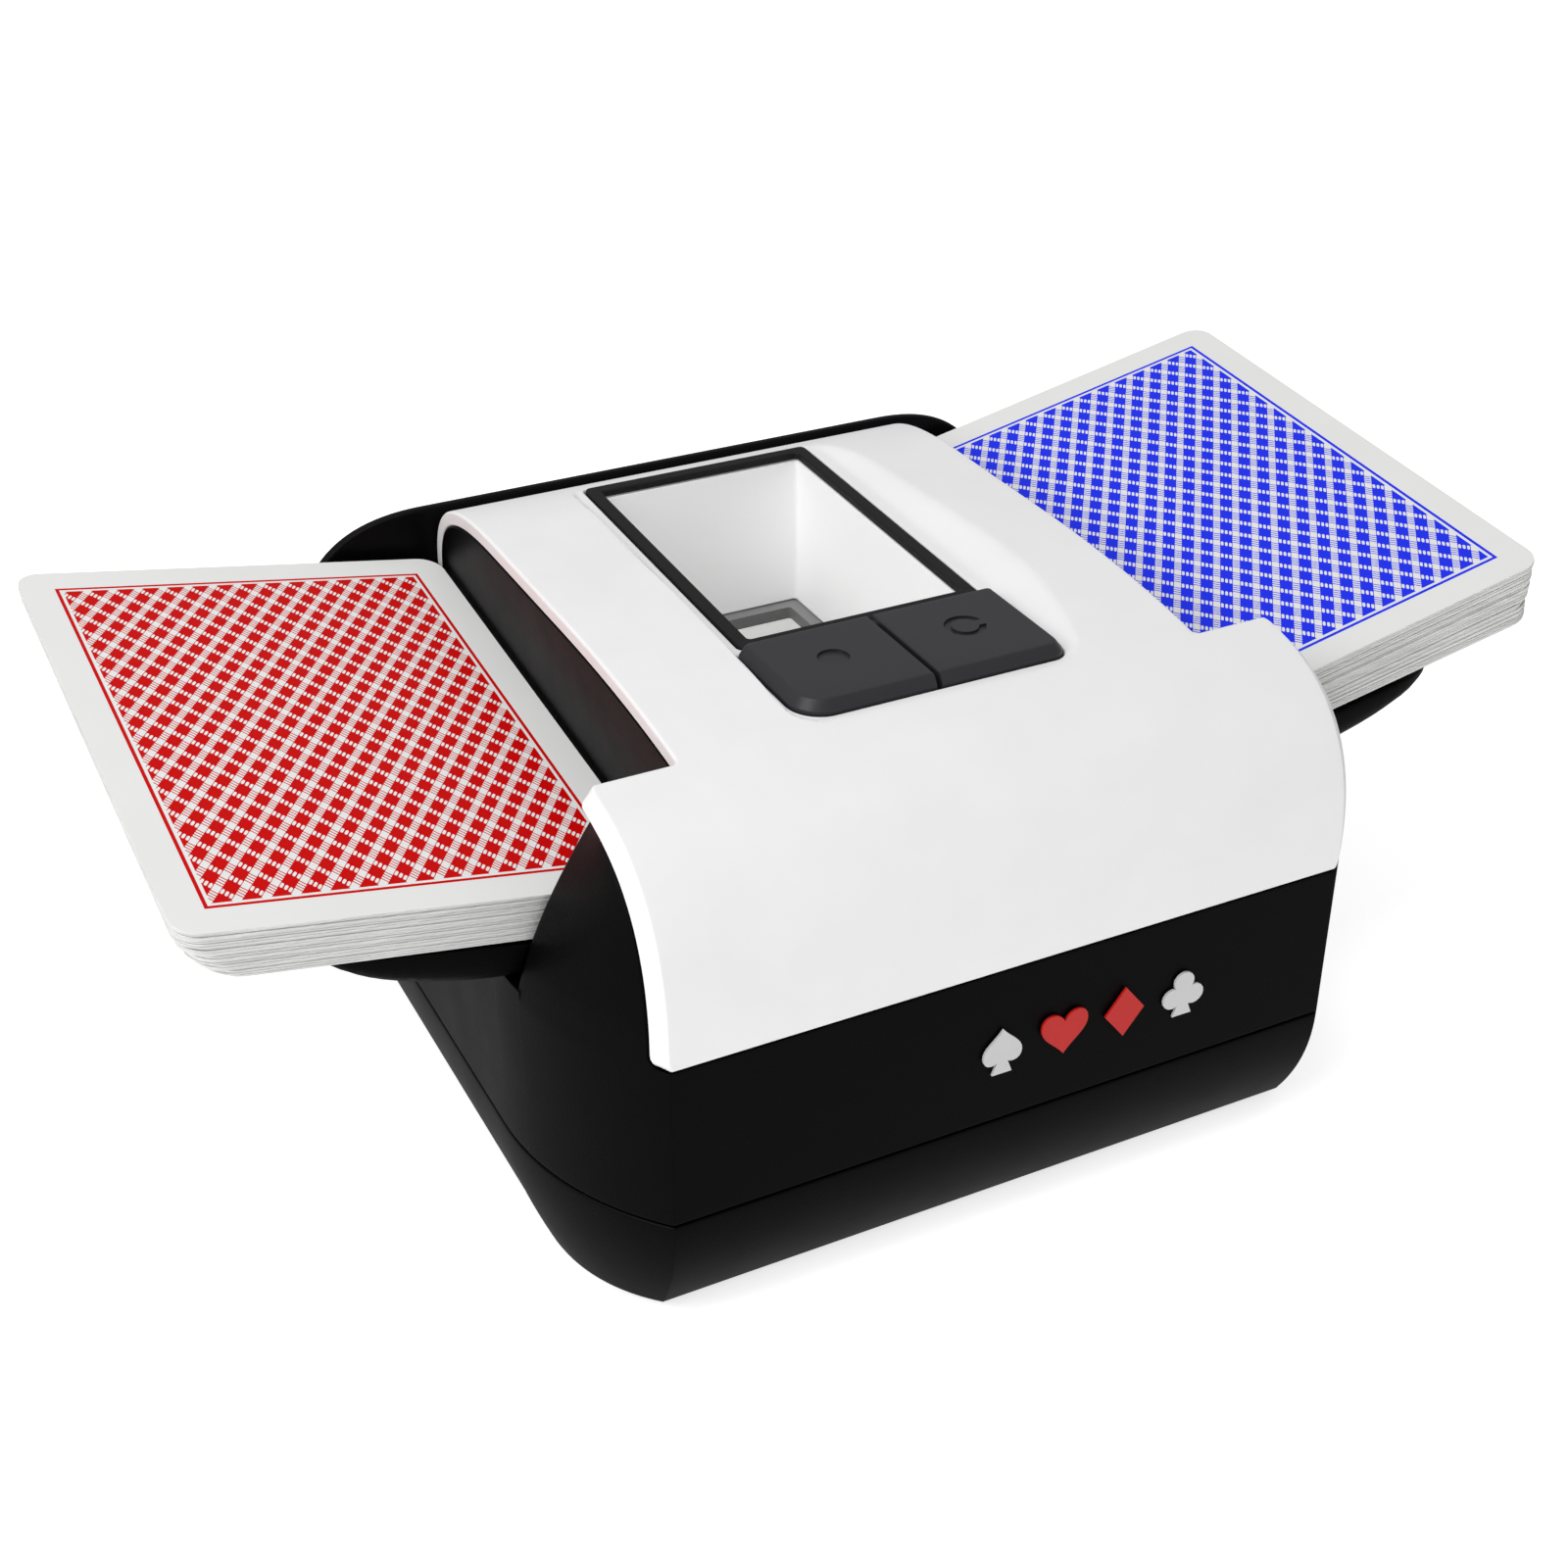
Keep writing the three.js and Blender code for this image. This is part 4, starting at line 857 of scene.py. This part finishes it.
def make_base():
    """A tray with a rounded foot, a broken upper edge, screw posts, foot seats and the door's notch."""
    rings = [level(base_ring(drop, inset), drop) for inset, drop in rim(BASE_EDGE)]
    rings += [level(base_ring(z, 0), z) for z in steps(BASE_EDGE + 0.5, PARTING - 0.35, 14)]
    rings.append(level(base_ring(PARTING - 0.1, 0.1), PARTING - 0.1))
    rings.append(level(base_ring(PARTING, 0.35), PARTING))
    inside = [level(base_ring(z, WALL), z) for z in steps(BASE_FLOOR, PARTING, 8)]
    inside.append(level(plan(WALL, WALL, WALL + 1), PARTING + 1))
    cuts = [("DIFFERENCE", loft(inside))]
    for x, y in SCREW_PLACES:
        cuts.append(("UNION", upright(POST_RADIUS, 1.5, PARTING, x, y)))
        cuts.append(("DIFFERENCE", upright(2.5, -1, 10.3, x, y)))
        cuts.append(("DIFFERENCE", upright(1.4, 9, PARTING + 1, x, y, 24)))
    for x, y in FOOT_PLACES:
        cuts.append(("DIFFERENCE", upright(4.3, -1, 0.9, x, y)))
    half, bottom = DOOR["half"], DOOR["bottom"]
    cuts.append(("DIFFERENCE", box(-half, half, BAY_REAR - 6, DEPTH + 1, bottom, PARTING + 1)))
    piece(combine(loft(rings), *cuts), "base", SHELL, "body", ["base_tray"])


def cheek_edge(t):
    """The edge where each cheek of the head meets its bay, in x and z."""
    a, b, c = (CHEEK_HALF, COVER_BOTTOM), (60.8, 52), (FRONT_HALF, 67.4)
    return tuple((1 - t) ** 2 * a[k] + 2 * t * (1 - t) * b[k] + t * t * c[k] for k in (0, 1))


def head_ring(z, edge, inset=0.0):
    """The head's outline at a height, with its rear corners at a given distance from the middle. The
    corners are rounder above the sill."""
    radius = 0.05 + 0.85 * min(max((z - SILL) / 4, 0), 1)
    corner = (FRONT_HALF, TOP_VIEW.front_at(z) + inset)
    side_angle = math.asin((HEAD_DEPTH - CORNER_CENTRE[1]) / CORNER_RADIUS)
    right = plan_quarter(corner, (edge - inset, HEAD_DEPTH - radius), side_angle, 32)
    right += arc(edge - inset - radius, HEAD_DEPTH - radius, radius, radius, 0, 90, 5)[1:]
    return level(mirrored(right), z)


def make_head():
    """The closed front with its rounded cheeks, hollow inside and recessed for the cover."""
    rings = [head_ring(PARTING + GAP + drop, CHEEK_HALF, inset) for inset, drop in rim(0.35)]
    rings += [head_ring(z, CHEEK_HALF) for z in steps(20, 41, 4)]
    for t in steps(0, 1, 40):
        x, z = cheek_edge(t)
        rings.append(head_ring(z, x))
    rings.append(head_ring(68.6, 49.2))
    side_view = TOP_VIEW.below(HOLLOW["skin"], PARTING - 1, HOLLOW["front"], HOLLOW["rear"])
    hollow = across(side_view, -HOLLOW["half"], HOLLOW["half"])
    outlines, drops = cover_rings()
    widest = offset(outlines[drops.index(-CHAMFER)], -RECESS_PLAY)
    flat = plate([[widest, widest]], [7, -COVER_THICKNESS - GAP], (), TOP_VIEW.cuts(0, TOP_VIEW.runs[-1]))
    cutter = moved(flat, TOP_VIEW.bent)
    return combine(loft(rings), ("DIFFERENCE", hollow), ("DIFFERENCE", cutter))


def shoulders():
    """The rear view of the body, counter-clockwise seen from the front."""
    right = [(BODY_HALF + 1, PARTING - 1), (BODY_HALF + 1, 40)]
    right += bezier((BODY_HALF, 44), (BODY_HALF, 58.5), (57.5, BODY_TOP), (40, BODY_TOP), 32)
    return right + [(-x, z) for x, z in reversed(right)]


def make_walls():
    """The side and rear walls, with the bays, the drawer's door and the charging port cut out."""
    rings = [level(plan(inset, inset, inset), PARTING + GAP + drop) for inset, drop in rim(0.35)]
    rings += [level(plan(0, 0, 0), SKY)]
    fillet = [(BAY_REAR + drop, inset) for inset, drop in rim(0.6)]
    far = [(DEPTH - drop, inset) for inset, drop in reversed(rim(0.6))]
    stations = [(HEAD_DEPTH - 0.5, 0), (BAY_REAR - 0.1, 0), *fillet, *far, (DEPTH + 1, 1.2)]
    bay = leaned(box(-BAY_HALF, BAY_HALF, HEAD_DEPTH - 1, BAY_REAR, -10, SKY + 20))
    sill = leaned(box(-80, 80, HEAD_DEPTH - 2, BAY_REAR, SILL, SKY + 20))
    return combine(
        loft(rings),
        ("INTERSECT", along_y(shoulders(), stations)),
        ("DIFFERENCE", bay),
        ("DIFFERENCE", sill),
        ("DIFFERENCE", box(-DOOR["half"], DOOR["half"], BAY_REAR - 1, DEPTH + 1, 0, DOOR["top"])),
        ("DIFFERENCE", port_bore()),
    )


def port_bore():
    """The charging port's slot through the rear wall, with play round it."""
    x, z, half, radius = (PORT[key] for key in ("x", "z", "half", "radius"))
    grown = radius + GAP
    outline = rounded(x - half - GAP, x + half + GAP, z - grown, z + grown, grown - 0.01)
    return along_y(outline, [(BAY_REAR - 1, 0), (DEPTH + 1, 0)])


def chamber_wall(side):
    """The wall between a bay and the chamber, with the slot that one card at a time passes."""
    outline = TOP_VIEW.below(COVER_THICKNESS + GAP, PARTING + GAP, HEAD_DEPTH - 0.5, BAY_REAR + 0.5)
    x0, x1 = sorted((side * CHAMBER_HALF, side * COVER_HALF_TOP))
    low = floor_at(COVER_HALF_TOP, BAY_FRONT) - 0.4
    slot = leaned(box(x0 - 1, x1 + 1, BAY_FRONT + 1, BAY_REAR - 1, low, low + 2))
    return combine(across(outline, x0, x1), ("DIFFERENCE", slot))


def make_casing():
    bosses = [
        ("UNION", upright(POST_RADIUS, PARTING + GAP, BOSS_TOP, x, y)) for x, y in sorted(SCREW_PLACES)
    ]
    bm = combine(
        make_walls(),
        ("UNION", make_head()),
        ("UNION", chamber_wall(-1)),
        ("UNION", chamber_wall(1)),
        *bosses,
    )
    piece(bm, "casing", SHELL, "body", ["mid_casing"])


# ---------------------------------------------------------------- trays
def tray_outline(side, inset):
    """A tray from above: straight at the chamber, with round outer corners."""
    inner = COVER_HALF_TOP + GAP
    outer = TRAY_HALF - inset
    front = BAY_FRONT + inset * 0.7
    rear = BAY_REAR - GAP - inset * 0.7
    radius = TRAY_RADIUS - inset * 0.5
    start, end = (outer - radius, front), (outer, front + radius)
    near = bezier(start, (outer - 1.5, front), (outer, front + 2.5), end, 14)
    far = [(x, front + rear - y) for x, y in reversed(near)]
    points = [(inner, front), *near, *far, (inner, rear)]
    return points if side > 0 else [(-x, y) for x, y in reversed(points)]


BELLY_RISE = 8.5
# The rings of a tray's edge: how far in, and how far down as a part of the tray's thickness.
TRAY_EDGE = [
    (0.4, 0.0), (0.12, 0.03), (0.0, 0.1), (0.0, 0.35), (0.5, 0.6), (1.5, 0.8), (3.2, 0.94), (5.5, 1.0),
]
TYRE_HOLE = {"half_x": 7.6, "half_y": 6.6, "corner": 0.8, "places": (-5, 25)}


def tray_bottom(x, y):
    """The underside: a thin plate inside the bay, and a round belly under the wing outside it."""
    x = abs(x)
    lean = PITCH * (y - BAY_FRONT)
    if x < BAY_HALF + 0.05:
        return floor_at(x, y) - 1.6
    root = BODY_HALF + 0.4
    part = min(max((x - root) / (TRAY_HALF + 1 - root), 0), 1)
    return SILL + GAP + BELLY_RISE * part**1.35 + lean


def make_tray(name, side):
    """A flat plate with two tyre holes, stretched between the tray's floor and its underside."""
    outline = [tray_outline(side, inset) for inset, _ in TRAY_EDGE]
    half_x, half_y = TYRE_HOLE["half_x"], TYRE_HOLE["half_y"]
    x = side * ROLLER_X
    holes = []
    for place in TYRE_HOLE["places"]:
        y = ROLLER_Y + place * math.cos(math.atan(PITCH))
        hole = rounded(x - half_x, x + half_x, y - half_y, y + half_y, TYRE_HOLE["corner"], 4)
        holes.append([offset(hole, -inset) for inset in [0.25, 0.08] + [0] * (len(TRAY_EDGE) - 2)])
    cuts = sorted(side * place for place in [BAY_HALF, BAY_HALF + 0.6, *steps(62.2, 85.2, 23)])
    bm = plate([outline, *holes], [-depth for _, depth in TRAY_EDGE], cuts, ())

    def stand(x, y, h):
        top = floor_at(x, y)
        return Vector((x, y, top + h * (top - tray_bottom(x, y))))

    moved(bm, stand)
    piece(bm, name, SHELL, "body", [name])


# ---------------------------------------------------------------- cards
# A packet is the first card it starts at, and how far it has slid outward and back. The fan is how
# far the outer ends of the lowest and the top card rise.
DECKS = {
    "red": {
        "side": -1, "thickness": 6.0, "back": RED_BACK, "fan": (-1.2, -0.7), "seed": 3,
        "packets": [
            (0, -3.6, -0.2), (1, -2.8, -0.2), (3, -1.8, -0.1), (6, -1.0, 0), (10, -0.3, 0), (14, 0.2, 0),
        ],
    },
    "blue": {
        "side": 1, "thickness": 7.6, "back": BLUE_BACK, "fan": (0.0, 1.1), "seed": 8,
        "packets": [(0, 0.2, -0.3), (8, -0.4, -0.2), (10, 0.6, 0), (16, 0.9, 0.2)],
    },
}
# How far the rollers hold a deck above its tray.
DECK_LIFT = 0.9


def add_card(bm, middle, turn, low, high, lean, uv_layer, printed):
    """One card between two heights, leaning along X; the printed face is its top."""
    outline = rounded(-CARD[0] / 2, CARD[0] / 2, -CARD[1] / 2, CARD[1] / 2, CARD_CORNER, 8)
    spin = Matrix.Rotation(turn, 2)
    soft = 0.03
    rings = [(soft, low), (0.0, low + soft), (0.0, high - soft), (soft, high)]
    levels = []
    for inset, height in rings:
        ring = []
        for point in offset(outline, inset):
            x, y = spin @ Vector(point) + middle
            ring.append(bm.verts.new((x, y, height + lean(x))))
        levels.append(ring)
    count = len(outline)
    for lower, upper in zip(levels, levels[1:]):
        for i in range(count):
            j = (i + 1) % count
            bm.faces.new((lower[i], lower[j], upper[j], upper[i]))
    bm.faces.new(levels[0])
    top = bm.faces.new(levels[-1])
    if printed:
        top.material_index = 1
        for loop, point in zip(top.loops, offset(outline, soft)):
            loop[uv_layer].uv = point


def make_deck(name):
    """A deck of separate cards, a little out of line, lying on the rollers of its tray."""
    deck = DECKS[name]
    side = deck["side"]
    chance = random.Random(deck["seed"])
    count = round(deck["thickness"] / CARD_THICKNESS)
    pitch = deck["thickness"] / count
    low, high = deck["fan"]
    roller = ROLLER_X - DECK_INNER - CARD[0] / 2
    bm = bmesh.new()
    uv_layer = bm.loops.layers.uv.new("card")
    for k in range(count):
        shift = [(dx, dy) for first, dx, dy in deck["packets"] if k >= first][-1]
        dx = shift[0] + chance.uniform(-0.1, 0.1)
        dy = shift[1] + chance.uniform(-0.1, 0.1)
        turn = math.radians(chance.uniform(-0.06, 0.06))
        last = k == count - 1
        rise = (low + (high - low) * k / (count - 1)) / (CARD[0] / 2 - roller)

        def lean(x):
            return rise * (side * x - roller)

        add_card(bm, Vector((side * dx, dy)), turn, k * pitch, k * pitch + pitch * 0.94, lean, uv_layer, last)
    outward = side * Vector((1, 0, side * TILT)).normalized()
    back = Vector((0, 1, PITCH)).normalized()
    up = Vector((0, 0, math.sqrt(1 + TILT**2 + PITCH**2)))
    y0 = BAY_FRONT + 0.5
    start = Vector((side * DECK_INNER, y0, floor_at(DECK_INNER, y0)))
    middle = start + outward * CARD[0] / 2 + back * CARD[1] / 2 + up * DECK_LIFT
    moved(bm, lambda x, y, z: middle + side * outward * x + back * y + up * z)
    body = f"{name}_cards"
    piece(bm, body, STACK, body, [f"{name}_deck"], second=deck["back"])


# ---------------------------------------------------------------- carried-over CAD nodes
def dress_node(node, material):
    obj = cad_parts[node]
    obj.data.materials.clear()
    obj.data.materials.append(material)
    smooth(obj, 28)


def dress_nodes():
    looks = {
        "chute_liner": CHUTE, "chute_rim": RIM, "card_drawer": DRAWER, "button_board": BOARD,
        "manual_switch": CHARCOAL, "auto_switch": CHARCOAL, "main_board": BOARD, "battery_pack": CELL,
        "charge_port": STEEL, "charge_board": BOARD, "badge_spade": BADGE_LIGHT, "badge_club": BADGE_LIGHT,
        "badge_heart": BADGE_RED, "badge_diamond": BADGE_RED,
    }
    for i in range(1, 5):
        looks[f"foot_{i}"] = FOOT
        looks[f"base_screw_{i}"] = STEEL
    for side in ("left", "right"):
        for part, material in (
            ("roller_shaft", STEEL), ("roller_hub_1", NYLON), ("roller_hub_2", NYLON), ("feed_tyre_1", TYRE),
            ("feed_tyre_2", TYRE), ("roller_gear", NYLON), ("front_bush", BRASS), ("rear_bush", BRASS),
            ("feed_frame", SHELL), ("motor", STEEL), ("motor_pinion", BRASS),
        ):
            looks[f"{side}_{part}"] = material
    for node, material in looks.items():
        dress_node(node, material)


# ---------------------------------------------------------------- floor, light and camera
TARGET = Vector((-0.0056, 0.0007, 0.041))
AZIMUTH = math.radians(-26.73)
ELEVATION = math.radians(31.10)
DISTANCE = 0.3393


def make_camera():
    data = bpy.data.cameras.new("camera")
    data.lens = 52.96
    data.sensor_width = 36
    data.clip_start = 0.01
    camera = bpy.data.objects.new("camera", data)
    bpy.context.collection.objects.link(camera)
    flat = math.cos(ELEVATION)
    away = Vector((math.sin(AZIMUTH) * flat, -math.cos(AZIMUTH) * flat, math.sin(ELEVATION)))
    camera.location = TARGET + away * DISTANCE
    camera.rotation_euler = away.to_track_quat("Z", "Y").to_euler()
    bpy.context.scene.camera = camera


def make_floor():
    bm = bmesh.new()
    bmesh.ops.create_circle(bm, cap_ends=True, segments=64, radius=3.0)
    mesh = bpy.data.meshes.new("floor")
    bm.to_mesh(mesh)
    bm.free()
    floor = bpy.data.objects.new("floor", mesh)
    bpy.context.collection.objects.link(floor)
    material, nodes = new_material("floor")
    nodes.set(
        Base_Color=(0.85, 0.85, 0.85, 1.0),
        Roughness=0.9,
        Specular_IOR_Level=0.1,
        Emission_Color=(1.0, 1.0, 1.0, 1.0),
        Emission_Strength=0.7,
    )
    mesh.materials.append(material)
    floor.visible_glossy = False


def area_light(name, azimuth, elevation, distance, size, power):
    """A disk light aimed at the target, with its azimuth from the front toward the right."""
    data = bpy.data.lights.new(name, "AREA")
    data.shape = "DISK"
    data.size = size
    data.energy = power
    light = bpy.data.objects.new(name, data)
    bpy.context.collection.objects.link(light)
    a, e = math.radians(azimuth), math.radians(elevation)
    away = Vector((math.sin(a) * math.cos(e), -math.cos(a) * math.cos(e), math.sin(e)))
    light.location = TARGET + away * distance
    light.rotation_euler = away.to_track_quat("Z", "Y").to_euler()


def make_light():
    world = bpy.data.worlds.new("studio")
    world.use_nodes = True
    world.node_tree.nodes["Background"].inputs["Color"].default_value = (1, 1, 1, 1)
    world.node_tree.nodes["Background"].inputs["Strength"].default_value = 0.42
    bpy.context.scene.world = world
    area_light("key", -74, 36, 0.7, 0.4, 1.6)
    area_light("top", -74, 72, 0.7, 0.4, 2.0)
    bpy.context.scene.view_settings.view_transform = "Standard"


make_camera()
make_floor()
make_light()
make_cover()
make_gasket()
make_buttons()
make_base()
make_casing()
make_tray("left_card_tray", -1)
make_tray("right_card_tray", 1)
make_deck("red")
make_deck("blue")
dress_nodes()
